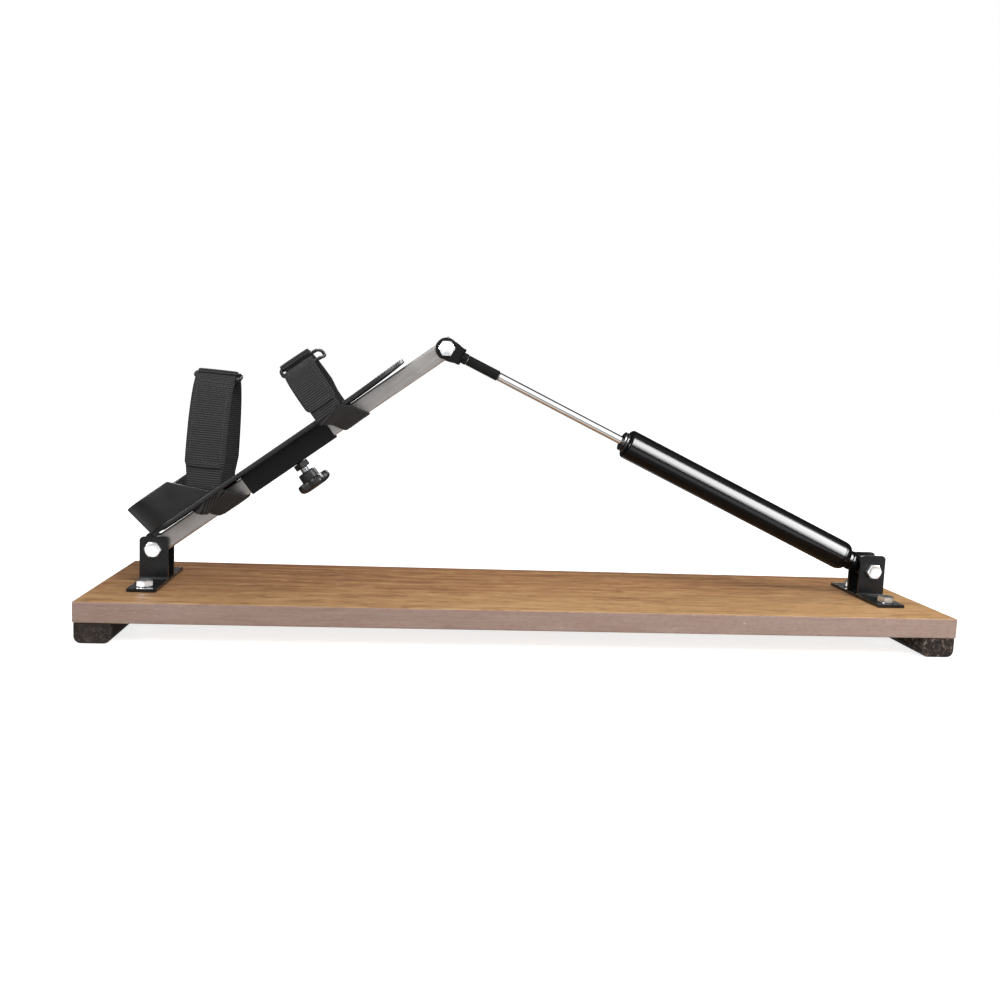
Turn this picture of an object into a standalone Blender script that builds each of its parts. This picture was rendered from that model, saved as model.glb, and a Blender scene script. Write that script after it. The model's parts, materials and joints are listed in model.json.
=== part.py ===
"""Ankle exerciser board: a foot plate on a swinging arm, held up by a sliding damper.

The frame is in metres with +Z up. The origin is on the floor below the middle of the board,
+X runs along the board towards the damper's foot, and the heel end is at -X.
"""

import math

import bmesh
import bpy
from mathutils import Matrix, Vector

MM = 0.001
GAP = 0.3 * MM

# Board and cleats
BOARD_LENGTH = 762 * MM
BOARD_WIDTH = 190 * MM
BOARD_THICK = 18 * MM
BOARD_EDGE = 1.2 * MM
CLEAT_WIDTH = 30 * MM
CLEAT_HEIGHT = 17 * MM
CLEAT_ROUND = 6 * MM
CLEAT_INSET = 1 * MM
BOARD_TOP = CLEAT_HEIGHT + BOARD_THICK
SCREW_SPREAD = 60 * MM
SCREW_RADIUS = 2 * MM
SCREW_HEAD_RADIUS = 4 * MM
SCREW_LENGTH = 26 * MM
SCREW_SINK = 1 * MM

# Brackets
BRACKET_WIDTH = 25 * MM
FLANGE_FRONT = 55 * MM
FLANGE_BACK = 49 * MM
PLATE_THICK = 3 * MM
EAR_GAP = 19 * MM
EAR_TOP = 41.5 * MM
EAR_ROUND = 3.5 * MM
BEND_ROUND = 2.2 * MM
FLANGE_BOLT_FRONT = 43 * MM
FLANGE_BOLT_BACK = 29 * MM
EAR_OUTER = EAR_GAP / 2 + PLATE_THICK

# M8 fasteners
BOLT_RADIUS = 4 * MM
BOLT_FLATS = 13 * MM
HEAD_HEIGHT = 5.3 * MM
NUT_HEIGHT = 6.5 * MM
WASHER_RADIUS = 8 * MM
WASHER_THICK = 1.6 * MM
HOLE_RADIUS = BOLT_RADIUS + GAP
FLANGE_BOLT_LENGTH = 32 * MM
THREAD_PAST_NUT = 2 * MM

# The three pivots, in the X-Z plane
ARM_PIVOT = Vector((-336 * MM, 0, BOARD_TOP + 31 * MM))
EYE_PIVOT = Vector((339 * MM, 0, BOARD_TOP + 27 * MM))
TIP_PIVOT = Vector((-79.5 * MM, 0, 256 * MM))
ARM_REACH = (TIP_PIVOT - ARM_PIVOT).length
DAMPER_REACH = (TIP_PIVOT - EYE_PIVOT).length

# Arm, in its own frame: +X from the heel pivot to the tip, +Z towards the foot
TUBE_HALF = 8 * MM
TUBE_WALL = 1.5 * MM
TUBE_OVERHANG = 8 * MM
TUBE_CORNER = 1.6 * MM
SPACER_THICK = 1 * MM

# Foot carriage, in the arm's frame
SLEEVE_START = 100 * MM
SLEEVE_END = 191 * MM
SLEEVE_HALF = 10 * MM
SLEEVE_BORE = 8.4 * MM
SLEEVE_CORNER = 2 * MM
PLATE_BOTTOM = SLEEVE_HALF + GAP
FOOT_PLATE_THICK = 2.5 * MM
PLATE_TOP = PLATE_BOTTOM + FOOT_PLATE_THICK
PLATE_HALF = 40 * MM
PLATE_HEEL = 7 * MM
PLATE_TOE = 281 * MM
HEEL_ROUND = 28 * MM
TOE_ROUND = 36 * MM
CUP_WALL = 2 * MM
CUP_HEIGHT = 28 * MM
CUP_LEAN = 4 * MM
CUP_BACK = 52 * MM
CUP_FRONT = 82 * MM

# Clamp screw below the sleeve
CLAMP_AT = 150 * MM
CLAMP_NUT_HEIGHT = 5.5 * MM
KNOB_TOP = -20 * MM
KNOB_HUB_RADIUS = 9 * MM
KNOB_HUB_HEIGHT = 8 * MM
KNOB_RADIUS = 17.5 * MM
KNOB_HEAD_HEIGHT = 9 * MM
KNOB_LOBES = 5
KNOB_LOBE_DEPTH = 2.4 * MM
KNOB_BORE_DEPTH = 6 * MM
KNOB_BEVEL = 1.5 * MM

# Straps and rings
STRAP_THICK = 2 * MM
STRAP_BOTTOM = -9.5 * MM
STRAP_UNDER_HALF = 10 * MM
STRAP_SLANT_Y = 32 * MM
STRAP_SLANT_V = 4 * MM
STRAP_TUCK = 1 * MM
SLOT_CLEARANCE = 0.6 * MM
STRAP_TWIST = 24 * MM
ANKLE_UNDER = 80 * MM
TOE_UNDER = 215 * MM
ARCH_START = 24 * MM
ARCH_STEPS = 10
ARCH_RISE = 0.8
ARCH_NARROWING = 0.75
RING_WIRE = 1.5 * MM
RING_PAST_STRAP = 5 * MM
RING_SHIFT = 3.5 * MM
RING_HALF = 4.5 * MM
RING_CORNER = 3.5 * MM
RING_FORWARD = 3 * MM
ANKLE = {"width": 34 * MM, "top": 96 * MM, "foot_u": 68 * MM, "lean": 0.84, "side": 36.5 * MM}
TOE = {"width": 30 * MM, "top": 67 * MM, "foot_u": 201 * MM, "lean": 0.0, "side": 43.5 * MM}

# Damper: distances from the tip pivot along its axis
FORK_EAR_RADIUS = 10 * MM
FORK_THICK = 3 * MM
FORK_HALF_GAP = 8.5 * MM
FORK_WEB = 17 * MM
FORK_WEB_HALF = 7.5 * MM
LOCK_NUT_HEIGHT = 4.5 * MM
LOCK_NUT_FLATS = 10 * MM
ROD_TOP = 13.6 * MM
ROD_END_BOTTOM = 54 * MM
ROD_END_RADIUS = 4.75 * MM
ROD_RADIUS = 4 * MM
ROD_THREAD_RADIUS = 3 * MM
BARREL_TOP = 189.6 * MM
BARREL_RADIUS = 14 * MM
BARREL_BORE = 12.5 * MM
BARREL_LIP_RADIUS = 9.9 * MM
BARREL_ROUND = 3 * MM
GLAND_RING_RADIUS = 9.5 * MM
GLAND_RING_HEIGHT = 5 * MM
GLAND_HEIGHT = 16 * MM
GLAND_GROOVE_TOP = 2.2 * MM
GLAND_GROOVE_BOTTOM = 0.8 * MM
GLAND_GROOVE_DEPTH = 1.2 * MM
GLAND_CHAMFER = 1 * MM
SEAL_HEIGHT = 4 * MM
PISTON_AT = 214 * MM
PISTON_HEIGHT = 12 * MM
PISTON_NUT_HEIGHT = 4.5 * MM
EYE_RADIUS = 10 * MM
EYE_HALF_WIDTH = 7.5 * MM
NECK_RADIUS = 9.2 * MM
SHOULDER_LENGTH = 8 * MM
BUSH_RADIUS = 6 * MM
BARREL_END = DAMPER_REACH - 32.5 * MM
SHOULDER_END = BARREL_END + SHOULDER_LENGTH
EYE_STUB_END = 8.2 * MM
PLUG_DEPTH = 12 * MM
NECK_GROOVE_START = 2.5 * MM
NECK_GROOVE_END = 4 * MM
NECK_GROOVE_DEPTH = 1.5 * MM
NECK_LENGTH = 7 * MM
NECK_FOOT = 9 * MM
NECK_FOOT_BOTTOM = 7 * MM
PISTON_NUT_FLATS = 10 * MM
SEAL_GROOVE_DEPTH = 1.6 * MM
SEAL_HALF = 2.2 * MM

# Angles
ARM_ANGLE = math.atan2(TIP_PIVOT.z - ARM_PIVOT.z, TIP_PIVOT.x - ARM_PIVOT.x)
DAMPER_ANGLE = math.atan2(TIP_PIVOT.z - EYE_PIVOT.z, EYE_PIVOT.x - TIP_PIVOT.x)
QUARTER = math.pi / 2

# Facets
ROUND = 20
FINE_ROUND = 28
SCREW_ROUND = 16
HALF_ROUND = 16
PLATE_ROUND = 8
CORNER_STEPS = 5
STEPS_PER_LOBE = 10
SMOOTH_BELOW = math.radians(35)
BEVEL_ABOVE = math.radians(50)

BLACK_STEEL = ("black_steel", (0.012, 0.012, 0.014), 0.32, 0.6)
BARE_STEEL = ("bare_steel", (0.42, 0.40, 0.38), 0.38, 1.0)
CHROME = ("chrome", (0.62, 0.61, 0.60), 0.12, 1.0)
ZINC = ("zinc", (0.78, 0.80, 0.83), 0.25, 1.0)
WOOD = ("oak_laminate", (0.42, 0.22, 0.09), 0.45, 0.0)
DARK_WOOD = ("dark_wood", (0.035, 0.024, 0.020), 0.75, 0.0)
PLASTIC = ("black_plastic", (0.015, 0.015, 0.016), 0.4, 0.0)
NYLON = ("nylon", (0.75, 0.73, 0.68), 0.5, 0.0)
RUBBER = ("rubber", (0.02, 0.02, 0.02), 0.8, 0.0)
WEBBING = ("webbing", (0.025, 0.025, 0.028), 0.9, 0.0)


# Scene

def clear_scene():
    for old in list(bpy.data.objects):
        bpy.data.objects.remove(old, do_unlink=True)


def collection(name):
    made = bpy.data.collections.new(name)
    bpy.context.scene.collection.children.link(made)
    return made


def finish(kind):
    """The material of this kind, made the first time it is asked for."""
    name, colour, roughness, metallic = kind
    if name in bpy.data.materials:
        return bpy.data.materials[name]
    made = bpy.data.materials.new(name)
    made.use_nodes = True
    shader = made.node_tree.nodes["Principled BSDF"]
    shader.inputs["Base Color"].default_value = (*colour, 1.0)
    shader.inputs["Roughness"].default_value = roughness
    shader.inputs["Metallic"].default_value = metallic
    return made


def empty(name, location, angle):
    """A guide on a joint's axis, turned by this angle about the Y axis."""
    made = bpy.data.objects.new(name, None)
    made.location = location
    made.rotation_euler = (0, angle, 0)
    PART.objects.link(made)
    return made


def place(obj, kind, parent=None, location=(0, 0, 0), rotation=(0, 0, 0)):
    obj.data.materials.clear()
    obj.data.materials.append(finish(kind))
    obj.parent = parent
    obj.location = location
    obj.rotation_euler = rotation
    return obj


# Shapes, each made round the origin

def from_bmesh(name, shape):
    mesh = bpy.data.meshes.new(name)
    shape.to_mesh(mesh)
    shape.free()
    made = bpy.data.objects.new(name, mesh)
    PART.objects.link(made)
    return made


def box(name, size, centre=(0, 0, 0)):
    shape = bmesh.new()
    frame = Matrix.Translation(centre) @ Matrix.Diagonal((*size, 1))
    bmesh.ops.create_cube(shape, size=1, matrix=frame)
    return from_bmesh(name, shape)


def prism(name, radius, bottom, top, sides=ROUND):
    """A cylinder, or a hexagon with six sides, standing from bottom to top on the Z axis."""
    shape = bmesh.new()
    frame = Matrix.Translation((0, 0, (bottom + top) / 2))
    bmesh.ops.create_cone(
        shape, cap_ends=True, segments=sides, radius1=radius, radius2=radius,
        depth=top - bottom, matrix=frame)
    made = from_bmesh(name, shape)
    if sides >= ROUND:
        smooth(made)
    return made


def smooth(obj):
    obj.data.shade_smooth()
    obj.data.set_sharp_from_angle(angle=SMOOTH_BELOW)


def arc(centre, radius, start, end, steps=CORNER_STEPS):
    """Points along an arc, with its angles in degrees."""
    points = []
    for step in range(steps + 1):
        angle = math.radians(start + (end - start) * step / steps)
        points.append((centre[0] + radius * math.cos(angle), centre[1] + radius * math.sin(angle)))
    return points


def circle(radius, centre=(0, 0), steps=ROUND):
    return arc(centre, radius, 0, 360, steps)[:-1]


def turned(name, profile, steps=ROUND, ring=False):
    """A profile of (radius, height) points, run top to bottom on the outer side, turned about Z."""
    mesh = bpy.data.meshes.new(name)
    edges = [(i, i + 1) for i in range(len(profile) - 1)]
    if ring:
        edges.append((len(profile) - 1, 0))
    mesh.from_pydata([(radius, 0, height) for radius, height in profile], edges, [])
    made = bpy.data.objects.new(name, mesh)
    PART.objects.link(made)
    screw = made.modifiers.new("turn", "SCREW")
    screw.steps = steps
    screw.render_steps = steps
    screw.use_merge_vertices = True
    screw.merge_threshold = 0.00005
    return applied(made)


def applied(obj):
    """The object with its modifiers baked into its mesh."""
    graph = bpy.context.evaluated_depsgraph_get()
    mesh = bpy.data.meshes.new_from_object(obj.evaluated_get(graph))
    obj.modifiers.clear()
    obj.data = mesh
    smooth(obj)
    return obj


def outline(name, loops, thickness):
    """A flat outline in the XY plane, with further loops as holes, as a welded solid."""
    curve = bpy.data.curves.new(name, "CURVE")
    curve.dimensions = "2D"
    curve.fill_mode = "BOTH"
    curve.extrude = thickness / 2
    for loop in loops:
        spline = curve.splines.new("POLY")
        spline.points.add(len(loop) - 1)
        for point, (x, y) in zip(spline.points, loop):
            point.co = (x, y, 0, 1)
        spline.use_cyclic_u = True
    drawn = bpy.data.objects.new(name, curve)
    PART.objects.link(drawn)
    graph = bpy.context.evaluated_depsgraph_get()
    shape = bmesh.new()
    shape.from_mesh(bpy.data.meshes.new_from_object(drawn.evaluated_get(graph)))
    bmesh.ops.remove_doubles(shape, verts=shape.verts, dist=0.00001)
    bpy.data.objects.remove(drawn)
    made = from_bmesh(name, shape)
    smooth(made)
    return made


def combine(target, tool, operation):
    """Joins, cuts or crosses the target with a tool that is then removed."""
    bpy.context.view_layer.update()
    boolean = target.modifiers.new(operation.lower(), "BOOLEAN")
    boolean.object = tool
    boolean.operation = operation
    applied(target)
    bpy.data.objects.remove(tool)
    return target


def bevelled(obj, width, segments=2):
    bevel = obj.modifiers.new("bevel", "BEVEL")
    bevel.width = width
    bevel.segments = segments
    bevel.limit_method = "ANGLE"
    bevel.angle_limit = BEVEL_ABOVE
    return applied(obj)


# Fasteners: the face under the head or nut is at the origin and the head points along +Z

def bolt(name, length, parent, location, rotation=(0, 0, 0)):
    made = prism(name, BOLT_FLATS / math.sqrt(3), 0, HEAD_HEIGHT, sides=6)
    combine(made, prism("shank", BOLT_RADIUS, -length, HEAD_HEIGHT / 2), "UNION")
    return place(made, ZINC, parent, location, rotation)


def nut(name, height, parent, location, rotation, bore=HOLE_RADIUS, flats=BOLT_FLATS, kind=ZINC):
    made = prism(name, flats / math.sqrt(3), 0, height, sides=6)
    combine(made, prism("bore", bore, -height, 2 * height), "DIFFERENCE")
    return place(made, kind, parent, location, rotation)


def washer(name, thickness, parent, location, rotation=(0, 0, 0), kind=ZINC):
    profile = [
        (WASHER_RADIUS, thickness), (WASHER_RADIUS, 0),
        (HOLE_RADIUS, 0), (HOLE_RADIUS, thickness)]
    return place(turned(name, profile, ring=True), kind, parent, location, rotation)


# Base

def screw_profile(grow=0.0):
    """A countersunk wood screw, point up, with its head's face at the origin."""
    cone = SCREW_HEAD_RADIUS - SCREW_RADIUS
    tip = SCREW_LENGTH + grow
    return [
        (0, tip), (SCREW_RADIUS + grow, tip - SCREW_RADIUS), (SCREW_RADIUS + grow, cone + grow),
        (SCREW_HEAD_RADIUS + grow, grow), (SCREW_HEAD_RADIUS + grow, -grow), (0, -grow)]


def screw_places():
    for side in (-1, 1):
        for across in (-1, 1):
            x = side * (BOARD_LENGTH / 2 - CLEAT_INSET - CLEAT_WIDTH / 2)
            yield side, across, (x, across * SCREW_SPREAD, SCREW_SINK)


def screw_hole(spot):
    """The hole for one screw, with its mouth open at the cleat's underside."""
    bottom = -2 * SCREW_SINK
    profile = screw_profile(GAP)
    profile[-2] = (SCREW_HEAD_RADIUS + GAP, bottom)
    profile[-1] = (0, bottom)
    hole = turned("screw_hole", profile, SCREW_ROUND)
    hole.location = spot
    return hole


def flange_bolt_places():
    for side, pivot in ((-1, ARM_PIVOT), (1, EYE_PIVOT)):
        for across in (-1, 1):
            yield side, across, pivot.x, flange_bolt_y(across)


def flange_bolt_y(across):
    return FLANGE_BOLT_BACK if across > 0 else -FLANGE_BOLT_FRONT


def board():
    made = box("board", (BOARD_LENGTH, BOARD_WIDTH, BOARD_THICK))
    bevelled(made, BOARD_EDGE)
    place(made, WOOD, None, (0, 0, CLEAT_HEIGHT + GAP / 2 + BOARD_THICK / 2))
    for _, _, x, y in flange_bolt_places():
        hole = prism("bolt_hole", HOLE_RADIUS, 0, 2 * BOARD_TOP)
        hole.location = (x, y, 0)
        combine(made, hole, "DIFFERENCE")
    for _, _, spot in screw_places():
        combine(made, screw_hole(spot), "DIFFERENCE")


def cleat(name, side):
    half = CLEAT_WIDTH / 2
    corner = half - CLEAT_ROUND
    top = CLEAT_HEIGHT - GAP / 2
    section = arc((-corner, CLEAT_ROUND), CLEAT_ROUND, 180, 270)
    section += arc((corner, CLEAT_ROUND), CLEAT_ROUND, 270, 360)
    section += [(half, top), (-half, top)]
    made = outline(name, [section], BOARD_WIDTH - 2 * CLEAT_INSET)
    x = side * (BOARD_LENGTH / 2 - CLEAT_INSET - half)
    place(made, DARK_WOOD, None, (x, 0, 0), (QUARTER, 0, 0))
    for screw_side, _, spot in screw_places():
        if screw_side == side:
            combine(made, screw_hole(spot), "DIFFERENCE")


def bracket_half(reach):
    """Half of the bracket's end view, with its flange reaching this far out."""
    inner = EAR_GAP / 2
    bend = (EAR_OUTER + BEND_ROUND, PLATE_THICK + BEND_ROUND)
    points = [(reach, 0), (reach, PLATE_THICK)]
    points += arc(bend, BEND_ROUND, 270, 180, 3)
    points += [(EAR_OUTER, EAR_TOP), (inner, EAR_TOP), (inner, PLATE_THICK)]
    return points


def bracket(name, pivot):
    """A bent strap with two ears: its end view crossed with its side view."""
    right = bracket_half(FLANGE_BACK)
    left = [(-y, z) for y, z in reversed(bracket_half(FLANGE_FRONT))]
    made = outline(name, [right + left], BRACKET_WIDTH + 2 * MM)
    place(made, BLACK_STEEL, None, (pivot.x, 0, BOARD_TOP + GAP), (QUARTER, 0, QUARTER))
    side = BRACKET_WIDTH / 2
    shoulder = EAR_TOP - EAR_ROUND
    view = [(-side, -MM), (side, -MM)]
    view += arc((side - EAR_ROUND, shoulder), EAR_ROUND, 0, 90)
    view += arc((EAR_ROUND - side, shoulder), EAR_ROUND, 90, 180)
    hole = circle(HOLE_RADIUS, (0, pivot.z - BOARD_TOP - GAP))
    crossing = outline("side_view", [view, hole], 2 * FLANGE_FRONT + 2 * MM)
    crossing.location = made.location
    crossing.rotation_euler = (QUARTER, 0, 0)
    combine(made, crossing, "INTERSECT")
    for across in (-1, 1):
        bore = prism("flange_hole", HOLE_RADIUS, 0, 2 * BOARD_TOP)
        bore.location = (pivot.x, flange_bolt_y(across), 0)
        combine(made, bore, "DIFFERENCE")


def base():
    board()
    cleat("cleat_heel_end", -1)
    cleat("cleat_damper_end", 1)
    for side, across, spot in screw_places():
        name = f"cleat_screw_{end_name(side)}_{side_name(across)}"
        place(turned(name, screw_profile(), SCREW_ROUND), ZINC, None, spot)
    bracket("bracket_heel_end", ARM_PIVOT)
    bracket("bracket_damper_end", EYE_PIVOT)
    top = BOARD_TOP + PLATE_THICK + 2 * GAP
    under = CLEAT_HEIGHT - WASHER_THICK - GAP
    for side, across, x, y in flange_bolt_places():
        where = f"{end_name(side)}_{side_name(across)}"
        bolt(f"flange_bolt_{where}", FLANGE_BOLT_LENGTH, None, (x, y, top))
        washer(f"under_washer_{where}", WASHER_THICK, None, (x, y, under))
        nut(f"flange_nut_{where}", NUT_HEIGHT, None, (x, y, under - GAP), (math.pi, 0, 0))


def end_name(side):
    return "heel" if side < 0 else "damper"


def side_name(across):
    return "front" if across < 0 else "back"


# Arm

def square_tube(name, start, end, half, bore, corner):
    outer = rounded_square(half, corner)
    inner = rounded_square(bore, corner / 2)
    made = outline(name, [outer, inner], end - start)
    made.data.transform(Matrix.Rotation(QUARTER, 4, "Y"))
    made.data.transform(Matrix.Translation(((start + end) / 2, 0, 0)))
    return made


def rounded_square(half, corner):
    points = []
    inset = half - corner
    for quarter, (x, y) in enumerate(((1, 1), (-1, 1), (-1, -1), (1, -1))):
        points += arc((x * inset, y * inset), corner, 90 * quarter, 90 * quarter + 90, 3)
    return points


def cross_hole(at, radius):
    hole = prism("cross_hole", radius, -2 * TUBE_HALF, 2 * TUBE_HALF)
    hole.data.transform(Matrix.Rotation(QUARTER, 4, "X"))
    hole.data.transform(Matrix.Translation((at, 0, 0)))
    return hole


def arm(guide):
    tube = square_tube(
        "arm_tube", -TUBE_OVERHANG, ARM_REACH + TUBE_OVERHANG, TUBE_HALF,
        TUBE_HALF - TUBE_WALL, TUBE_CORNER)
    for at in (0, ARM_REACH):
        combine(tube, cross_hole(at, HOLE_RADIUS), "DIFFERENCE")
    place(tube, BARE_STEEL, guide)
    for across in (-1, 1):
        middle = (TUBE_HALF + EAR_GAP / 2) / 2
        washer(
            f"arm_spacer_{side_name(across)}", SPACER_THICK, guide,
            (0, across * middle + SPACER_THICK / 2, 0), (QUARTER, 0, 0), NYLON)


def pivot_bolts():
    """The bolts through both brackets. The one at the eye is two stubs that stop at its sides."""
    front = (QUARTER, 0, 0)
    back = (-QUARTER, 0, 0)
    head_y = EAR_OUTER + GAP
    through = 2 * head_y + NUT_HEIGHT + THREAD_PAST_NUT
    bolt("arm_pivot_bolt", through, None, (ARM_PIVOT.x, -head_y, ARM_PIVOT.z), front)
    nut("arm_pivot_nut", NUT_HEIGHT, None, (ARM_PIVOT.x, head_y, ARM_PIVOT.z), back)
    stub = head_y - EYE_STUB_END
    bolt("damper_pivot_bolt", stub, None, (EYE_PIVOT.x, -head_y, EYE_PIVOT.z), front)
    end = prism("damper_pivot_nut", BOLT_FLATS / math.sqrt(3), 0, NUT_HEIGHT, sides=6)
    combine(end, prism("stud", BOLT_RADIUS, -stub, NUT_HEIGHT + THREAD_PAST_NUT), "UNION")
    place(end, ZINC, None, (EYE_PIVOT.x, head_y, EYE_PIVOT.z), back)


# Foot carriage

def foot_plate(guide):
    heel = PLATE_HALF - HEEL_ROUND
    toe = PLATE_HALF - TOE_ROUND
    heel_x = PLATE_HEEL + HEEL_ROUND
    toe_x = PLATE_TOE - TOE_ROUND
    shape = arc((heel_x, heel), HEEL_ROUND, 90, 180, PLATE_ROUND)
    shape += arc((heel_x, -heel), HEEL_ROUND, 180, 270, PLATE_ROUND)
    shape += arc((toe_x, -toe), TOE_ROUND, 270, 360, PLATE_ROUND)
    shape += arc((toe_x, toe), TOE_ROUND, 0, 90, PLATE_ROUND)
    slots = [strap_slot(ANKLE, across) for across in (-1, 1)]
    made = outline("foot_plate", [shape] + slots, FOOT_PLATE_THICK)
    place(made, BLACK_STEEL, guide, (0, 0, (PLATE_BOTTOM + PLATE_TOP) / 2))


def strap_slot(strap, across):
    """The slot beside the cup's wall that a strap passes down through."""
    half_length = strap["width"] / 2 + SLOT_CLEARANCE
    half_gap = STRAP_THICK / 2 + SLOT_CLEARANCE
    inner = across * strap["side"] - half_gap
    outer = across * strap["side"] + half_gap
    start = strap["foot_u"] - half_length
    end = strap["foot_u"] + half_length
    return [(start, inner), (end, inner), (end, outer), (start, outer)]


def heel_cup(guide):
    """A band bent round the heel, leaning back, with its ends cut down to the plate."""
    bottom = PLATE_TOP + GAP
    inner_round = HEEL_ROUND - CUP_WALL
    flat = PLATE_HALF - HEEL_ROUND
    heel_x = PLATE_HEEL + HEEL_ROUND
    band = [(CUP_FRONT, PLATE_HALF)]
    band += arc((heel_x, flat), HEEL_ROUND, 90, 180, PLATE_ROUND)
    band += arc((heel_x, -flat), HEEL_ROUND, 180, 270, PLATE_ROUND)
    band += [(CUP_FRONT, -PLATE_HALF), (CUP_FRONT, CUP_WALL - PLATE_HALF)]
    band += arc((heel_x, -flat), inner_round, 270, 180, PLATE_ROUND)
    band += arc((heel_x, flat), inner_round, 180, 90, PLATE_ROUND)
    band += [(CUP_FRONT, PLATE_HALF - CUP_WALL)]
    made = outline("heel_cup", [band], CUP_HEIGHT)
    for vertex in made.data.vertices:
        vertex.co.x -= CUP_LEAN * (vertex.co.z / CUP_HEIGHT + 0.5)
    made.data.transform(Matrix.Translation((0, 0, bottom + CUP_HEIGHT / 2)))
    top = bottom + CUP_HEIGHT
    past = 10 * MM
    slope = CUP_HEIGHT / (CUP_FRONT - CUP_BACK - CUP_LEAN)
    wedge = [
        (CUP_BACK - past / slope, top + past), (CUP_FRONT - CUP_LEAN + past / slope, bottom - past),
        (CUP_FRONT + past, bottom - past), (CUP_FRONT + past, top + past)]
    cutter = outline("taper", [wedge], 2 * PLATE_HALF + past)
    cutter.rotation_euler = (QUARTER, 0, 0)
    combine(made, cutter, "DIFFERENCE")
    place(made, BLACK_STEEL, guide)


def sleeve(guide):
    made = square_tube(
        "slide_sleeve", SLEEVE_START, SLEEVE_END, SLEEVE_HALF, SLEEVE_BORE, SLEEVE_CORNER)
    hole = prism("clamp_hole", HOLE_RADIUS, -2 * SLEEVE_HALF, 0)
    hole.location = (CLAMP_AT, 0, 0)
    combine(made, hole, "DIFFERENCE")
    place(made, BLACK_STEEL, guide)


def clamp(guide):
    nut(
        "clamp_nut", CLAMP_NUT_HEIGHT, guide, (CLAMP_AT, 0, -SLEEVE_HALF - GAP),
        (math.pi, 0, 0), kind=BLACK_STEEL)
    stud_end = KNOB_TOP - KNOB_BORE_DEPTH + GAP
    stud = prism("clamp_stud", BOLT_RADIUS, stud_end, -TUBE_HALF - GAP)
    place(stud, ZINC, guide, (CLAMP_AT, 0, 0))
    hub_bottom = -KNOB_HUB_HEIGHT
    head_bottom = hub_bottom - KNOB_HEAD_HEIGHT
    points = []
    steps = KNOB_LOBES * STEPS_PER_LOBE
    for step in range(steps):
        angle = 2 * math.pi * step / steps
        radius = KNOB_RADIUS - KNOB_LOBE_DEPTH * (1 - math.cos(KNOB_LOBES * angle)) / 2
        points.append((radius * math.cos(angle), radius * math.sin(angle)))
    knob = outline("clamp_knob", [points], KNOB_HEAD_HEIGHT)
    knob.data.transform(Matrix.Translation((0, 0, (hub_bottom + head_bottom) / 2)))
    bevelled(knob, KNOB_BEVEL)
    combine(knob, prism("hub", KNOB_HUB_RADIUS, hub_bottom - MM, 0), "UNION")
    combine(knob, prism("bore", HOLE_RADIUS, -KNOB_BORE_DEPTH, MM), "DIFFERENCE")
    place(knob, PLASTIC, guide, (CLAMP_AT, 0, KNOB_TOP))


def strap_path(top, foot_u, lean, side, under_u):
    """Half a strap's middle line, from under the tube to the top, as points (u, y, v)."""
    points = [
        Vector((under_u, 0, STRAP_BOTTOM)),
        Vector((under_u, STRAP_UNDER_HALF, STRAP_BOTTOM)),
        Vector(((under_u + foot_u) / 2, STRAP_SLANT_Y, STRAP_SLANT_V)),
        Vector((foot_u, side, PLATE_BOTTOM - STRAP_TUCK)),
        Vector((foot_u, side, PLATE_TOP))]
    for step in range(ARCH_STEPS + 1):
        angle = QUARTER * step / ARCH_STEPS
        v = ARCH_START + (top - ARCH_START) * math.sin(angle) ** ARCH_RISE
        y = side * max(math.cos(angle), 0) ** ARCH_NARROWING
        points.append(Vector((foot_u + (v - PLATE_TOP) * lean, y, v)))
    return points


def strap(name, guide, width, top, foot_u, lean, side, under_u):
    """A closed band of webbing round plate and foot, as a ribbon made solid."""
    half_path = strap_path(top, foot_u, lean, side, under_u)
    mirrored = [Vector((p.x, -p.y, p.z)) for p in reversed(half_path[1:-1])]
    path = half_path + mirrored
    shape = bmesh.new()
    rows = []
    for point in path:
        blend = min(max((point.z - PLATE_TOP) / STRAP_TWIST, 0), 1)
        across = Vector((1, 0, -lean * blend)).normalized() * width / 2
        rows.append([shape.verts.new(point - across), shape.verts.new(point + across)])
    for index, row in enumerate(rows):
        following = rows[(index + 1) % len(rows)]
        shape.faces.new((row[0], following[0], following[1], row[1]))
    bmesh.ops.recalc_face_normals(shape, faces=shape.faces)
    made = from_bmesh(name, shape)
    shell = made.modifiers.new("webbing", "SOLIDIFY")
    shell.thickness = STRAP_THICK
    shell.offset = 0
    applied(made)
    place(made, WEBBING, guide)


def strap_ring(name, guide, width, top, foot_u, lean, **_):
    """A wire loop lying across the strap at the top of the foot, past its toe edge."""
    half_width = width / 2 + RING_PAST_STRAP
    points = []
    for quarter, (x, y) in enumerate(((1, 1), (-1, 1), (-1, -1), (1, -1))):
        middle = (x * (half_width - RING_CORNER), y * (RING_HALF - RING_CORNER))
        points += arc(middle, RING_CORNER, 90 * quarter, 90 * quarter + 90, 4)
    curve = bpy.data.curves.new(name, "CURVE")
    curve.dimensions = "3D"
    curve.bevel_depth = RING_WIRE
    curve.bevel_resolution = 2
    spline = curve.splines.new("POLY")
    spline.points.add(len(points) - 1)
    for point, (x, y) in zip(spline.points, points):
        point.co = (x, y, 0, 1)
    spline.use_cyclic_u = True
    made = bpy.data.objects.new(name, curve)
    PART.objects.link(made)
    tilt = math.atan(lean)
    crown = Vector((foot_u + (top - PLATE_TOP) * lean, -RING_FORWARD, top))
    above = STRAP_THICK / 2 + GAP + RING_WIRE
    centre = crown + above * Vector((math.sin(tilt), 0, math.cos(tilt)))
    centre += RING_SHIFT * Vector((math.cos(tilt), 0, -math.sin(tilt)))
    place(made, BLACK_STEEL, guide, centre, (0, tilt, 0))


# Damper, in its own frame: the tip pivot at the origin and the eye below it on the -Z side

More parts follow.
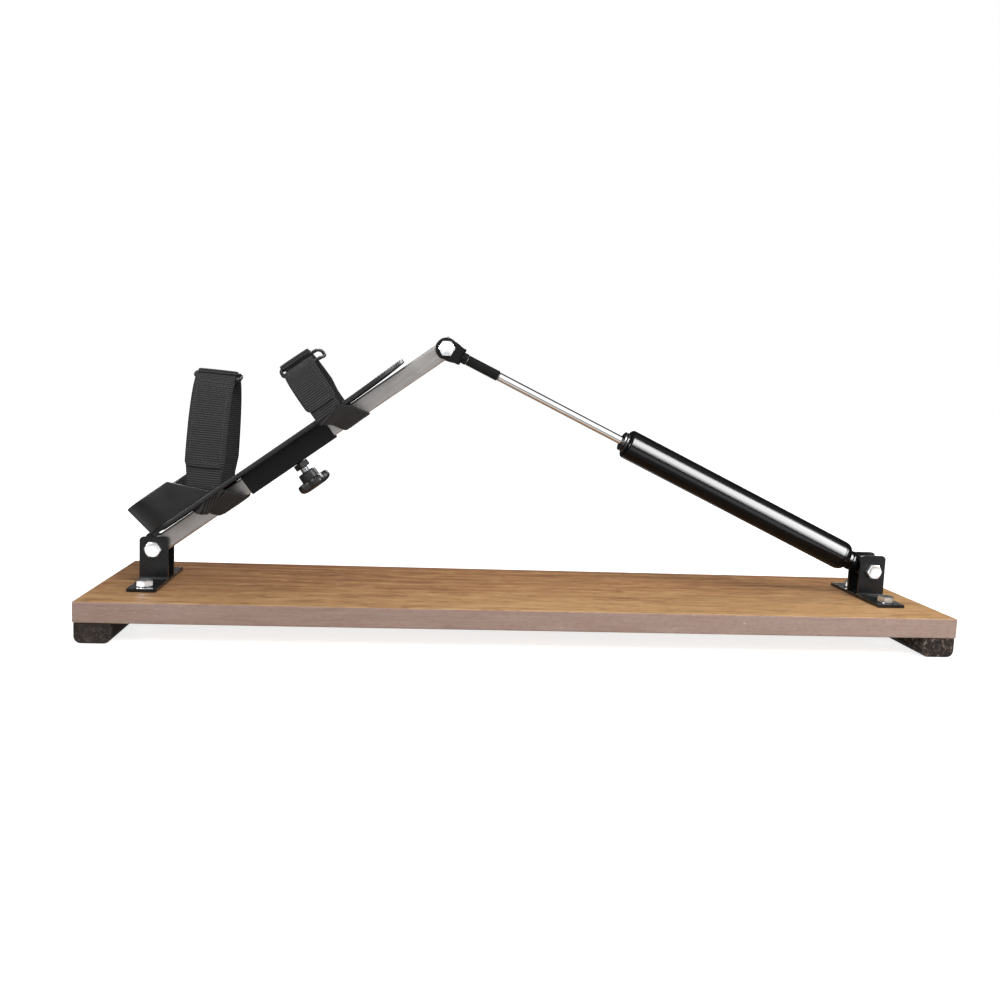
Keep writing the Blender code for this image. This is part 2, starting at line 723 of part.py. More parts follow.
def damper_rod_group(guide):
    fork(guide)
    head_y = FORK_HALF_GAP + FORK_THICK + GAP
    front = (QUARTER, 0, 0)
    through = 2 * head_y + NUT_HEIGHT + THREAD_PAST_NUT
    bolt("tip_pivot_bolt", through, guide, (0, -head_y, 0), front)
    nut("tip_pivot_nut", NUT_HEIGHT, guide, (0, head_y, 0), (-QUARTER, 0, 0))
    nut(
        "rod_lock_nut", LOCK_NUT_HEIGHT, guide, (0, 0, -FORK_WEB - GAP), (math.pi, 0, 0),
        ROD_THREAD_RADIUS + GAP, LOCK_NUT_FLATS, BLACK_STEEL)
    sleeve_top = -FORK_WEB - 2 * GAP - LOCK_NUT_HEIGHT
    bore = ROD_THREAD_RADIUS + GAP
    profile = [
        (ROD_END_RADIUS, sleeve_top), (ROD_END_RADIUS, -ROD_END_BOTTOM),
        (bore, -ROD_END_BOTTOM), (bore, sleeve_top)]
    place(turned("rod_end_sleeve", profile, ring=True), BLACK_STEEL, guide)
    step = -ROD_END_BOTTOM - GAP
    land = -PISTON_AT + GAP
    tail = -PISTON_AT - PISTON_HEIGHT - PISTON_NUT_HEIGHT - THREAD_PAST_NUT
    profile = [
        (0, -ROD_TOP), (ROD_THREAD_RADIUS, -ROD_TOP), (ROD_THREAD_RADIUS, step),
        (ROD_RADIUS, step), (ROD_RADIUS, land), (ROD_THREAD_RADIUS, land),
        (ROD_THREAD_RADIUS, tail), (0, tail)]
    place(turned("damper_rod", profile), CHROME, guide)
    piston(guide)


def fork(guide):
    """A strap bent round the arm's tip: its side view crossed with its front view."""
    radius = FORK_EAR_RADIUS
    side = arc((0, 0), radius, 0, 180, HALF_ROUND)
    side += [(-FORK_WEB_HALF, -FORK_WEB), (FORK_WEB_HALF, -FORK_WEB)]
    hole = circle(HOLE_RADIUS)
    depth = 2 * (FORK_HALF_GAP + FORK_THICK)
    made = outline("damper_fork", [side, hole], depth)
    made.data.transform(Matrix.Rotation(QUARTER, 4, "X"))
    room = box(
        "fork_gap", (4 * radius, 2 * FORK_HALF_GAP, FORK_WEB - FORK_THICK + 2 * radius),
        (0, 0, radius - (FORK_WEB - FORK_THICK) / 2))
    combine(made, room, "DIFFERENCE")
    stud_hole = prism("stud_hole", ROD_THREAD_RADIUS + GAP, -2 * FORK_WEB, 0)
    combine(made, stud_hole, "DIFFERENCE")
    place(made, BLACK_STEEL, guide)


def piston(guide):
    outer = BARREL_BORE - 2 * GAP
    groove = outer - SEAL_GROOVE_DEPTH
    bore = ROD_THREAD_RADIUS + GAP
    top = -PISTON_AT
    bottom = -PISTON_AT - PISTON_HEIGHT
    middle = (top + bottom) / 2
    profile = [
        (outer, top), (outer, middle + SEAL_HALF), (groove, middle + SEAL_HALF),
        (groove, middle - SEAL_HALF), (outer, middle - SEAL_HALF), (outer, bottom),
        (bore, bottom), (bore, top)]
    place(turned("damper_piston", profile, ring=True), BARE_STEEL, guide)
    band = SEAL_HALF - GAP
    profile = [
        (outer + GAP / 2, middle + band), (outer + GAP / 2, middle - band),
        (groove + GAP, middle - band), (groove + GAP, middle + band)]
    place(turned("piston_seal", profile, ring=True), RUBBER, guide)
    nut(
        "piston_nut", PISTON_NUT_HEIGHT, guide, (0, 0, bottom - GAP), (math.pi, 0, 0),
        ROD_THREAD_RADIUS + GAP, PISTON_NUT_FLATS)


def damper_barrel_group(guide):
    """Barrel, gland and eye, measured from the eye's pivot so that +Z runs to the arm's tip."""
    rise = DAMPER_REACH
    top = rise - BARREL_TOP
    bottom = rise - BARREL_END
    profile = [(BARREL_LIP_RADIUS, top)]
    profile += [
        (r, z) for r, z in arc(
            (BARREL_RADIUS - BARREL_ROUND, top - BARREL_ROUND), BARREL_ROUND, 90, 0)]
    profile += [
        (BARREL_RADIUS, bottom), (BARREL_BORE, bottom), (BARREL_BORE, top - BARREL_ROUND),
        (BARREL_LIP_RADIUS, top - BARREL_ROUND)]
    barrel = turned("barrel_tube", profile, FINE_ROUND, ring=True)
    place(barrel, BLACK_STEEL, guide)
    gland(guide, top)
    eye_end(guide, bottom)


def gland(guide, top):
    bore = ROD_RADIUS + GAP
    ring_top = top + GLAND_RING_HEIGHT
    body_top = top - BARREL_ROUND - GAP
    body_bottom = body_top - GLAND_HEIGHT
    body = BARREL_BORE - GAP
    groove = GLAND_RING_RADIUS - GLAND_GROOVE_DEPTH
    groove_top = top + GLAND_GROOVE_TOP
    groove_bottom = top + GLAND_GROOVE_BOTTOM
    profile = [
        (GLAND_RING_RADIUS - GLAND_CHAMFER, ring_top),
        (GLAND_RING_RADIUS, ring_top - GLAND_CHAMFER),
        (GLAND_RING_RADIUS, groove_top), (groove, groove_top), (groove, groove_bottom),
        (GLAND_RING_RADIUS, groove_bottom), (GLAND_RING_RADIUS, body_top), (body, body_top),
        (body, body_bottom), (bore, body_bottom), (bore, ring_top)]
    place(turned("rod_gland", profile, ring=True), BLACK_STEEL, guide)
    seal_top = body_bottom - GAP
    profile = [
        (body, seal_top), (body, seal_top - SEAL_HEIGHT),
        (bore, seal_top - SEAL_HEIGHT), (bore, seal_top)]
    place(turned("rod_seal", profile, ring=True), RUBBER, guide)


def eye_end(guide, barrel_bottom):
    """The plug in the barrel's foot: rounded shoulder, grooved neck and the pivot eye."""
    plug = BARREL_BORE - GAP
    shoulder_top = barrel_bottom - GAP
    shoulder_foot = DAMPER_REACH - SHOULDER_END
    fall = shoulder_top - shoulder_foot
    plug_top = barrel_bottom + PLUG_DEPTH
    profile = [(0, plug_top), (plug, plug_top), (plug, shoulder_top)]
    drop = BARREL_RADIUS - NECK_RADIUS
    for step in range(CORNER_STEPS + 1):
        angle = QUARTER * step / CORNER_STEPS
        radius = NECK_RADIUS + drop * math.cos(angle)
        profile.append((radius, shoulder_top - fall * math.sin(angle)))
    groove = NECK_RADIUS - NECK_GROOVE_DEPTH
    groove_top = shoulder_foot - NECK_GROOVE_START
    groove_bottom = shoulder_foot - NECK_GROOVE_END
    foot = EYE_HALF_WIDTH - MM
    profile += [
        (NECK_RADIUS, groove_top), (groove, groove_top), (groove, groove_bottom),
        (NECK_RADIUS, groove_bottom), (NECK_RADIUS, shoulder_foot - NECK_LENGTH),
        (foot, NECK_FOOT), (foot, NECK_FOOT_BOTTOM), (0, NECK_FOOT_BOTTOM)]
    made = turned("barrel_eye", profile, FINE_ROUND)
    lug = prism("lug", EYE_RADIUS, -EYE_HALF_WIDTH, EYE_HALF_WIDTH, FINE_ROUND)
    lug.rotation_euler = (QUARTER, 0, 0)
    combine(made, lug, "UNION")
    bore = prism("eye_bore", BUSH_RADIUS + GAP, -2 * EYE_HALF_WIDTH, 2 * EYE_HALF_WIDTH)
    bore.rotation_euler = (QUARTER, 0, 0)
    combine(made, bore, "DIFFERENCE")
    place(made, BLACK_STEEL, guide)
    profile = [
        (BUSH_RADIUS, EYE_HALF_WIDTH), (BUSH_RADIUS, -EYE_HALF_WIDTH),
        (HOLE_RADIUS, -EYE_HALF_WIDTH), (HOLE_RADIUS, EYE_HALF_WIDTH)]
    bush = turned("eye_bush", profile, ring=True)
    place(bush, NYLON, guide, (0, 0, 0), (QUARTER, 0, 0))


def main():
    base()
    pivot_bolts()
    arm_guide = empty("arm_pivot_guide", ARM_PIVOT, -ARM_ANGLE)
    arm(arm_guide)
    foot_plate(arm_guide)
    heel_cup(arm_guide)
    sleeve(arm_guide)
    clamp(arm_guide)
    strap("ankle_strap", arm_guide, under_u=ANKLE_UNDER, **ANKLE)
    strap("toe_strap", arm_guide, under_u=TOE_UNDER, **TOE)
    strap_ring("ankle_ring", arm_guide, **ANKLE)
    strap_ring("toe_ring", arm_guide, **TOE)
    tilt = DAMPER_ANGLE - QUARTER
    damper_rod_group(empty("tip_pivot_guide", TIP_PIVOT, tilt))
    damper_barrel_group(empty("eye_pivot_guide", EYE_PIVOT, tilt))


clear_scene()
PART = collection("ankle_exerciser_board")
main()
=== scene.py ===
"""Looks of the ankle exerciser board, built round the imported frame.

Every place comes from the frame: pivots and axes from its joints, sizes from its nodes' boxes.
The arm's own axes are u along the tube from the heel pivot, y to the back and v towards the foot.
"""

import json
import math

import bmesh
import bpy
from mathutils import Matrix, Vector, noise


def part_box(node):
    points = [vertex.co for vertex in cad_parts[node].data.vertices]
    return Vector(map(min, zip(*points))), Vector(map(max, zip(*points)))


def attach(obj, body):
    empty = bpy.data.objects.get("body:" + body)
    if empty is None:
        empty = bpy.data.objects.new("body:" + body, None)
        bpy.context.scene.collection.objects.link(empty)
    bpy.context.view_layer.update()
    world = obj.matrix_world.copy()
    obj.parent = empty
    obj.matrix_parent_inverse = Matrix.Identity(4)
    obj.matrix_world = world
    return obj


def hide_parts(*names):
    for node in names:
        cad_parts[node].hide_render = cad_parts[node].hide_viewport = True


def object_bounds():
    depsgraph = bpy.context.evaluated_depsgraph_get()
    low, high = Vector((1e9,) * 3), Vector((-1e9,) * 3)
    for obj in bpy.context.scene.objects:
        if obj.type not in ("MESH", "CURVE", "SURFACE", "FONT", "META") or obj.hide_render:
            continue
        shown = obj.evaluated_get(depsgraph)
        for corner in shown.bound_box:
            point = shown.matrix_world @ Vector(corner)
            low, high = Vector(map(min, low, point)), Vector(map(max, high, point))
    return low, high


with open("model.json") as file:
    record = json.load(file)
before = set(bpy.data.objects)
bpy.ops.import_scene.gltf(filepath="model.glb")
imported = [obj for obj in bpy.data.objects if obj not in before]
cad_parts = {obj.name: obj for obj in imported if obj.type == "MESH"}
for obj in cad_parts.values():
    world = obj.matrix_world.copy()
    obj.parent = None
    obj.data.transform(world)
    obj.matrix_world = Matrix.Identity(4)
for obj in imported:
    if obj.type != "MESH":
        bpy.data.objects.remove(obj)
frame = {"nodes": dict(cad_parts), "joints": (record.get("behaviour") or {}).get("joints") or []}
CAD_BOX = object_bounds()

MM = 0.001
FULL = 2 * math.pi
TURNS = 72
PLAIN = (1, 1, 1)
LEFT_END, RIGHT_END = CAD_BOX[0].x, CAD_BOX[1].x
RIB_PITCH = 2.0 * MM
YARN_PITCH = 1.1 * MM
ACROSS = Matrix.Rotation(math.pi / 2, 4, "X")
JOINTS = {joint["name"]: joint for joint in frame["joints"]}


# Axes and sizes from the frame

def axes(origin, x_axis, z_axis):
    """A frame matrix at this origin with these two axes; its y axis runs to the back."""
    y_axis = z_axis.cross(x_axis).normalized()
    columns = Matrix((x_axis, y_axis, z_axis)).transposed().to_4x4()
    columns.translation = origin
    return columns


def middle(node):
    low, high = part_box(node)
    return (low + high) / 2


BACK = Vector((0, 1, 0))
ARM_AXIS = Vector(JOINTS["foot_slide"]["axis"]).normalized()
ARM = axes(Vector(JOINTS["arm_swing"]["pos_m"]), ARM_AXIS, ARM_AXIS.cross(BACK))
DAMPER_AXIS = -Vector(JOINTS["barrel_travel"]["axis"]).normalized()
TIP = axes(Vector(JOINTS["rod_swing"]["pos_m"]), BACK.cross(DAMPER_AXIS), DAMPER_AXIS)
EYE = axes(middle("eye_bush"), BACK.cross(DAMPER_AXIS), DAMPER_AXIS)
ARM_ANGLE = math.atan2(ARM_AXIS.z, ARM_AXIS.x)


def points_of(node, place=Matrix()):
    """A CAD node's points, seen in the axes of a frame matrix."""
    inverse = place.inverted()
    return [inverse @ vertex.co for vertex in frame["nodes"][node].data.vertices]


def local_box(node, place):
    """The lowest and highest corner of a CAD node, seen in the axes of a frame matrix."""
    points = points_of(node, place)
    low = Vector([min(point[i] for point in points) for i in range(3)])
    high = Vector([max(point[i] for point in points) for i in range(3)])
    return low, high


def heading(points, index):
    """The direction of a line of points at one of them."""
    before = points[max(index - 1, 0)]
    after = points[min(index + 1, len(points) - 1)]
    return (after - before).normalized()


def square_to(direction, along):
    """The part of a direction that lies square to another one."""
    return (direction - along * direction.dot(along)).normalized()


def held(value):
    """A number kept between 0 and 1."""
    return min(max(value, 0), 1)


# Meshes

def in_scene(name, data, place):
    """A new object with this data, standing at a frame matrix."""
    made = bpy.data.objects.new(name, data)
    bpy.context.scene.collection.objects.link(made)
    made.matrix_world = place
    return made


def mesh_of(name, shape):
    """A mesh from a closed bmesh, which it uses up."""
    bmesh.ops.recalc_face_normals(shape, faces=shape.faces)
    mesh = bpy.data.meshes.new(name)
    shape.to_mesh(mesh)
    shape.free()
    return mesh


def piece(name, shape, place, material, body, stands_for=None, angle=30):
    """A finished piece from a bmesh in its own axes, riding on a body."""
    mesh = mesh_of(name, shape)
    mesh.shade_smooth()
    mesh.set_sharp_from_angle(angle=math.radians(angle))
    mesh.materials.append(material)
    made = in_scene(name, mesh, place)
    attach(made, body)
    if stands_for:
        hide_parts(stands_for)
    return made


def skinned(rings, wrap=False, uvs=None):
    """A new bmesh skinned over a row of rings."""
    shape = bmesh.new()
    loft(shape, rings, wrap, uvs)
    return shape


def loft(shape, rings, wrap=False, uvs=None):
    """Skins a row of closed rings of points; the ends are capped unless the row wraps round."""
    made = [[shape.verts.new(point) for point in ring] for ring in rings]
    count = len(rings[0])
    pairs = len(made) if wrap else len(made) - 1
    layer = shape.loops.layers.uv.verify() if uvs else None
    for row in range(pairs):
        here, following = made[row], made[(row + 1) % len(made)]
        for spot in range(count):
            after = (spot + 1) % count
            face = shape.faces.new((here[spot], here[after], following[after], following[spot]))
            if layer:
                corners = ((row, spot), (row, after), (row + 1, after), (row + 1, spot))
                for loop, (r, s) in zip(face.loops, corners):
                    loop[layer].uv = uvs[r % len(rings)][s]
    if not wrap:
        shape.faces.new(made[0])
        shape.faces.new(made[-1])


def full_turn(steps):
    """The cosine and sine of each step of a full turn."""
    return [(math.cos(FULL * i / steps), math.sin(FULL * i / steps)) for i in range(steps)]


def ringed(steps, spot):
    """A ring about the z axis; spot gives the radius and the height at each angle."""
    made = []
    for i in range(steps):
        angle = FULL * i / steps
        radius, height = spot(angle)
        made.append(Vector((radius * math.cos(angle), radius * math.sin(angle), height)))
    return made


def circle(radius, height, steps=TURNS):
    return ringed(steps, lambda angle: (radius, height))


def turned(profile, steps=TURNS, wrap=False):
    """A profile of (radius, height) points turned about the z axis."""
    return skinned([circle(radius, height, steps) for radius, height in profile], wrap)


def arc(centre, radius, start, end, steps=6):
    points = []
    for step in range(steps + 1):
        angle = math.radians(start + (end - start) * step / steps)
        points.append((centre[0] + radius * math.cos(angle), centre[1] + radius * math.sin(angle)))
    return points


def rounded_box(half_x, half_y, radius, steps):
    """The outline of a rectangle with round corners."""
    points = []
    for x, y, start in ((1, 1, 0), (-1, 1, 90), (-1, -1, 180), (1, -1, 270)):
        centre = (x * (half_x - radius), y * (half_y - radius))
        points += arc(centre, radius, start, start + 90, steps)
    return points


def rounded(profile, radius, steps=3):
    """The same profile with each of its inner corners rounded off."""
    made = [profile[0]]
    for before, corner, after in zip(profile, profile[1:], profile[2:]):
        here = Vector(corner)
        towards = [Vector(before) - here, Vector(after) - here]
        reach = min(radius, towards[0].length * 0.45, towards[1].length * 0.45)
        start, end = [here + way.normalized() * reach for way in towards]
        for step in range(steps + 1):
            t = step / steps
            point = start * (1 - t) ** 2 + here * 2 * t * (1 - t) + end * t ** 2
            made.append(tuple(point))
    made.append(profile[-1])
    return made


# Materials

class Graph:
    """A node tree under construction."""

    def __init__(self, tree):
        self.tree = tree

    def add(self, kind, inputs=None, **settings):
        made = self.tree.nodes.new(kind)
        for key, value in settings.items():
            setattr(made, key, value)
        for key, value in (inputs or {}).items():
            self.feed(made.inputs[key], value)
        return made

    def feed(self, socket, value):
        """Links a socket to another node's output, or sets its value."""
        if isinstance(value, bpy.types.NodeSocket):
            self.tree.links.new(value, socket)
        elif socket.type == "RGBA" and len(value) == 3:
            socket.default_value = (*value, 1.0)
        else:
            socket.default_value = value

    def steps(self, value, low, high, out_low=0.0, out_high=1.0):
        made = self.add("ShaderNodeMapRange", {
            "Value": value, "From Min": low, "From Max": high, "To Min": out_low,
            "To Max": out_high})
        return made.outputs["Result"]

    def calc(self, operation, first, second=0.0):
        return self.add("ShaderNodeMath", {0: first, 1: second}, operation=operation).outputs[0]


class Paint(Graph):
    """A material under construction: a Principled shader and the nodes that feed it."""

    def __init__(self, name, roughness, metallic=0.0, specular=0.5):
        self.material = bpy.data.materials.new(name)
        self.material.use_nodes = True
        super().__init__(self.material.node_tree)
        self.shader = self.tree.nodes["Principled BSDF"]
        self.set("Roughness", roughness)
        self.set("Metallic", metallic)
        self.set("Specular IOR Level", specular)
        self.heights = None

    def set(self, name, value):
        self.feed(self.shader.inputs[name], value)

    def place(self, scale=PLAIN, turn=0.0, kind="Object"):
        """Coordinates on the piece, turned about Y and scaled."""
        source = self.add("ShaderNodeTexCoord")
        mapping = self.add("ShaderNodeMapping", {
            "Vector": source.outputs[kind], "Rotation": (0, turn, 0)})
        stretch = self.add("ShaderNodeVectorMath", {
            0: mapping.outputs["Vector"], 1: scale}, operation="MULTIPLY")
        return stretch.outputs["Vector"]

    def parts(self, where=None):
        """The X, Y and Z of a place on the piece."""
        return self.add("ShaderNodeSeparateXYZ", {"Vector": where or self.place()}).outputs

    def noise(self, where, scale, detail=4.0, roughness=0.55, distortion=0.0):
        """Noise over a place, or over the piece's own coordinates scaled by three numbers."""
        if isinstance(where, tuple):
            where = self.place(where)
        made = self.add("ShaderNodeTexNoise", {
            "Vector": where, "Scale": scale, "Detail": detail, "Roughness": roughness,
            "Distortion": distortion})
        return made.outputs["Fac"]

    def mix(self, factor, first, second):
        made = self.add(
            "ShaderNodeMix", {0: factor, 6: first, 7: second}, data_type="RGBA", blend_type="MIX")
        return made.outputs[2]

    def colour(self, base, *layers):
        """Colours laid over a base. Each has a value and its share: a range, a factor or None."""
        for value, share, colour in layers:
            if isinstance(share, tuple):
                value = self.steps(value, *share)
            elif share is not None:
                value = self.calc("MULTIPLY", value, share)
            base = self.mix(value, base, colour)
        self.set("Base Color", base)

    def rough(self, value, smooth, coarse):
        self.set("Roughness", self.steps(value, 0.3, 0.7, smooth, coarse))

    def bump(self, height, distance):
        """Adds a height to the surface; further calls lie on top of earlier ones."""
        inputs = {"Height": height, "Distance": distance, "Strength": 1.0}
        if self.heights:
            inputs["Normal"] = self.heights
        self.heights = self.add("ShaderNodeBump", inputs).outputs["Normal"]
        self.set("Normal", self.heights)


def oak_top():
    """Oak laminate: redder at the back, paler at the front, with a dark rim; painted light makes it
    paler to the right.
    """
    paint = Paint("oak_top", 0.46, specular=0.35)
    parts = paint.parts()
    drift = paint.noise((2.2, 9, 9), 2.0, 5.0, 0.6, 0.6)
    tone_and_painted_light = paint.calc("ADD", paint.calc("MULTIPLY", parts["Y"], -4.5), drift)
    # painted light: the tone is drawn paler towards the right end, where more light falls
    tone_and_painted_light = paint.calc("ADD", tone_and_painted_light, paint.steps(parts["X"], LEFT_END, RIGHT_END, -0.06, 0.24))
    figure = paint.add("ShaderNodeTexWave", {
        "Vector": paint.place((0.12, 1, 1)), "Scale": 17, "Distortion": 9.0, "Detail": 4.0,
        "Detail Scale": 1.3}, bands_direction="Y").outputs["Fac"]
    streaks = paint.noise((4, 95, 95), 2.6, 7.0, 0.68, 0.3)
    flame = paint.noise((20, 70, 70), 1.0, 7.0, 0.66, 1.1)
    grit = paint.noise((60, 170, 170), 1.0, 5.0, 0.7, 0.4)
    fleck = paint.noise((16, 190, 190), 2.2, 5.0, 0.7)
    fine = paint.noise((12, 520, 520), 2.0, 4.0, 0.7)
    pores = paint.steps(paint.noise((28, 760, 760), 2.0, 2.0), 0.60, 0.70)
    knots = paint.steps(paint.noise((11, 60, 60), 2.4, 5.0, 0.6, 1.2), 0.64, 0.74)
    half = (CAD_BOX[1] - CAD_BOX[0]) / 2
    back = paint.steps(parts["Y"], half.y - 2.4 * MM, half.y - 1.2 * MM)
    across = paint.calc("ABSOLUTE", parts["X"])
    ends = paint.steps(across, half.x - 1.8 * MM, half.x - 0.9 * MM)
    rim = paint.calc("MAXIMUM", back, ends)
    red, tan, pale = (0.300, 0.128, 0.054), (0.450, 0.222, 0.092), (0.620, 0.370, 0.165)
    paint.colour(
        red, (tone_and_painted_light, (0.15, 0.60), tan), (tone_and_painted_light, (0.55, 0.98, 0.0, 0.8), pale),
        (figure, (0.55, 1.0, 0.0, 0.45), pale),
        (streaks, (0.50, 0.72, 0.0, 0.60), (0.205, 0.086, 0.034)),
        (flame, (0.52, 0.66, 0.0, 0.62), (0.215, 0.090, 0.036)),
        (flame, (0.34, 0.46, 0.55, 0.0), (0.66, 0.42, 0.20)),
        (grit, (0.54, 0.68, 0.0, 0.50), (0.20, 0.085, 0.035)),
        (grit, (0.32, 0.44, 0.35, 0.0), (0.68, 0.45, 0.23)),
        (fleck, (0.52, 0.70, 0.0, 0.42), (0.235, 0.100, 0.040)),
        (fleck, (0.30, 0.44, 0.45, 0.0), (0.64, 0.41, 0.20)),
        (knots, 0.6, (0.135, 0.052, 0.020)), (fine, (0.45, 0.70, 0.0, 0.30), (0.20, 0.088, 0.036)),
        (pores, 0.5, (0.09, 0.038, 0.015)), (rim, 0.75, (0.10, 0.045, 0.022)))
    paint.rough(streaks, 0.40, 0.56)
    paint.bump(fine, 0.00006)
    paint.bump(paint.calc("MULTIPLY", pores, -1.0), 0.0001)
    return paint.material


def edge_band():
    """The board's taupe edging, with faint grain, specks, a few pale scuffs and painted light that
    pales it to the right.
    """
    paint = Paint("edge_band", 0.55, specular=0.3)
    grain = paint.noise((10, 200, 260), 2.0, 5.0, 0.65)
    blotch = paint.noise((6, 6, 30), 2.5, 4.0)
    weave = paint.noise((90, 90, 260), 2.5, 4.0, 0.6)
    specks = paint.steps(paint.noise(PLAIN, 900, 2.0), 0.66, 0.74)
    scuff = paint.steps(paint.noise((30, 30, 110), 3.2, 8.0, 0.75), 0.60, 0.70)
    patch = paint.steps(paint.noise((3.1, 3.1, 3.1), 2.0, 1.0), 0.58, 0.70)
    paint.colour(
        (0.352, 0.240, 0.192), (grain, (0.35, 0.68), (0.282, 0.180, 0.143)),
        (blotch, (0.4, 0.7, 0.0, 0.5), (0.41, 0.297, 0.250)),
        # painted light: the edging is laid paler towards its right end, where more light falls
        (paint.parts()["X"], (-0.1, RIGHT_END, 0.0, 0.45), (0.44, 0.320, 0.270)),
        (weave, (0.48, 0.70, 0.0, 0.4), (0.22, 0.14, 0.115)), (specks, 0.5, (0.17, 0.10, 0.08)),
        (paint.calc("MULTIPLY", scuff, patch), 0.8, (0.82, 0.76, 0.72)))
    paint.rough(grain, 0.48, 0.64)
    paint.bump(grain, 0.00008)
    return paint.material


def dark_wood():
    """Rough dark timber with flecks that grow paler to the right."""
    paint = Paint("dark_wood", 0.8, specular=0.25)
    grain = paint.noise((40, 6, 120), 3.0, 6.0, 0.7)
    crust = paint.noise((1, 0.6, 1), 160, 5.0, 0.7)
    flecks = paint.steps(paint.noise((1, 0.5, 1), 330, 4.0, 0.75), 0.53, 0.64)
    rightward = paint.steps(paint.parts()["X"], LEFT_END, RIGHT_END, 0.25, 0.75)
    paint.colour(
        (0.008, 0.005, 0.004), (grain, (0.3, 0.7), (0.030, 0.019, 0.015)),
        (crust, (0.5, 0.7, 0.0, 0.7), (0.075, 0.050, 0.038)),
        (flecks, rightward, (0.30, 0.235, 0.195)))
    for height, distance in ((grain, 0.0003), (crust, 0.0004), (flecks, 0.0002)):
        paint.bump(height, distance)
    return paint.material


def black_coat(name, roughness, shade, specular):
    """Black paint over steel: slight orange peel, dust and worn specks."""
    paint = Paint(name, roughness, 0.0, specular)
    patch = paint.noise(PLAIN, 45, 4.0)
    specks = paint.steps(paint.noise(PLAIN, 1500, 2.0), 0.74, 0.80)
    paint.colour(
        shade, (patch, (0.35, 0.7), tuple(c * 1.7 for c in shade)),
        (specks, 0.35, (0.16, 0.155, 0.15)))
    paint.rough(patch, roughness * 0.85, roughness * 1.2)
    paint.bump(paint.noise(PLAIN, 700, 3.0), 0.00004)
    return paint.material


def brushed_steel():
    """Drawn square tube: fine lines along its length, stains and a few scratches."""
    paint = Paint("brushed_steel", 0.36, 1.0)
    lines = paint.noise(paint.place((8, 500, 500), ARM_ANGLE), 2.0, 5.0, 0.7)
    stain = paint.noise(paint.place((12, 30, 30), ARM_ANGLE), 2.5, 5.0, 0.65)
    speck = paint.steps(paint.noise(PLAIN, 1100, 3.0), 0.62, 0.72)
    scratch = paint.steps(
        paint.noise(paint.place((25, 900, 900), ARM_ANGLE + 0.06), 1.5, 2.0), 0.70, 0.74)
    paint.colour(
        (0.40, 0.385, 0.375), (lines, (0.3, 0.7), (0.62, 0.60, 0.59)),
        (stain, (0.42, 0.72, 0.0, 0.55), (0.37, 0.33, 0.30)), (speck, 0.4, (0.16, 0.14, 0.13)),
        (scratch, 0.5, (0.85, 0.84, 0.83)))
    paint.rough(lines, 0.28, 0.5)
    paint.bump(lines, 0.00003)
    paint.bump(speck, 0.00002)
    return paint.material


def chromed():
    """Ground chrome, darker along the lines where a rod mirrors the unlit parts of a studio."""
    paint = Paint("chromed", 0.09, 1.0)
    haze = paint.noise((30, 30, 6), 6.0, 4.0)
    upward = paint.parts(paint.add("ShaderNodeTexCoord").outputs["Normal"])["X"]
    shade = paint.steps(upward, 0.58, 0.74, 1.0, 0.10)
    shade = paint.calc("MULTIPLY", shade, paint.steps(upward, -0.92, -0.62, 0.40, 1.0))
    below = paint.calc(
        "MULTIPLY", paint.steps(upward, -0.34, -0.28), paint.steps(upward, -0.12, -0.04, 1.0, 0.0))
    shade = paint.calc("MULTIPLY", shade, paint.steps(below, 0.0, 1.0, 1.0, 0.30))
    bright = paint.mix(paint.steps(haze, 0.3, 0.7), (0.74, 0.735, 0.73), (0.86, 0.86, 0.86))
    paint.colour((0.03, 0.03, 0.03), (shade, None, bright))
    paint.rough(haze, 0.06, 0.14)
    paint.bump(paint.noise((900, 900, 40), 2.0, 2.0), 0.000004)
    return paint.material


def zinc():
    """Bright zinc plate with cloudy patches and small pits."""
    paint = Paint("zinc_plate", 0.3, 1.0)
    cloud = paint.noise(PLAIN, 220, 5.0, 0.6)
    pits = paint.steps(paint.noise(PLAIN, 1300, 3.0), 0.60, 0.70)
    paint.colour(
        (0.70, 0.72, 0.74), (cloud, (0.35, 0.65), (0.93, 0.94, 0.95)),
        (pits, 0.8, (0.24, 0.25, 0.26)))
    paint.rough(cloud, 0.24, 0.46)
    paint.bump(cloud, 0.00006)
    paint.bump(pits, 0.00005)
    return paint.material


def moulded(name, shade, roughness):
    """Moulded plastic or rubber with a fine grain."""
    paint = Paint(name, roughness)
    cloud = paint.noise(PLAIN, 90, 4.0)
    paint.colour(shade, (cloud, (0.35, 0.7), tuple(min(1, c * 1.5) for c in shade)))
    paint.rough(cloud, roughness * 0.85, roughness * 1.2)
    paint.bump(paint.noise(PLAIN, 1400, 3.0), 0.00005)
    return paint.material


def webbing():
    """Black polyester webbing: cross ribs, twill between them, lint and sheen."""
    paint = Paint("webbing", 0.8, specular=0.15)
    where = paint.place(kind="UV")
    parts = paint.parts(where)
    along = paint.calc("MULTIPLY", parts["X"], FULL / RIB_PITCH)
    across = paint.calc("MULTIPLY", parts["Y"], FULL / YARN_PITCH)
    wander = paint.noise(where, 260, 3.0)
    along = paint.calc("ADD", along, paint.calc("MULTIPLY", wander, 1.2))
    ribs = paint.steps(paint.calc("SINE", along), -1, 1)
    yarns = paint.steps(paint.calc("SINE", across), -1, 1)
    weave = paint.calc("MULTIPLY", ribs, paint.steps(yarns, 0, 1, 0.55, 1.0))
    lint = paint.steps(paint.noise(where, 1700, 3.0), 0.66, 0.76)
    fade = paint.noise(where, 55, 4.0)
    paint.colour(
        (0.006, 0.006, 0.0065), (weave, None, (0.075, 0.075, 0.077)),
        (fade, (0.4, 0.7, 0.0, 0.5), (0.030, 0.030, 0.032)), (lint, 0.25, (0.13, 0.13, 0.135)))
    paint.bump(weave, 0.0002)
    paint.set("Sheen Weight", 0.06)
    paint.set("Sheen Roughness", 0.4)
    return paint.material


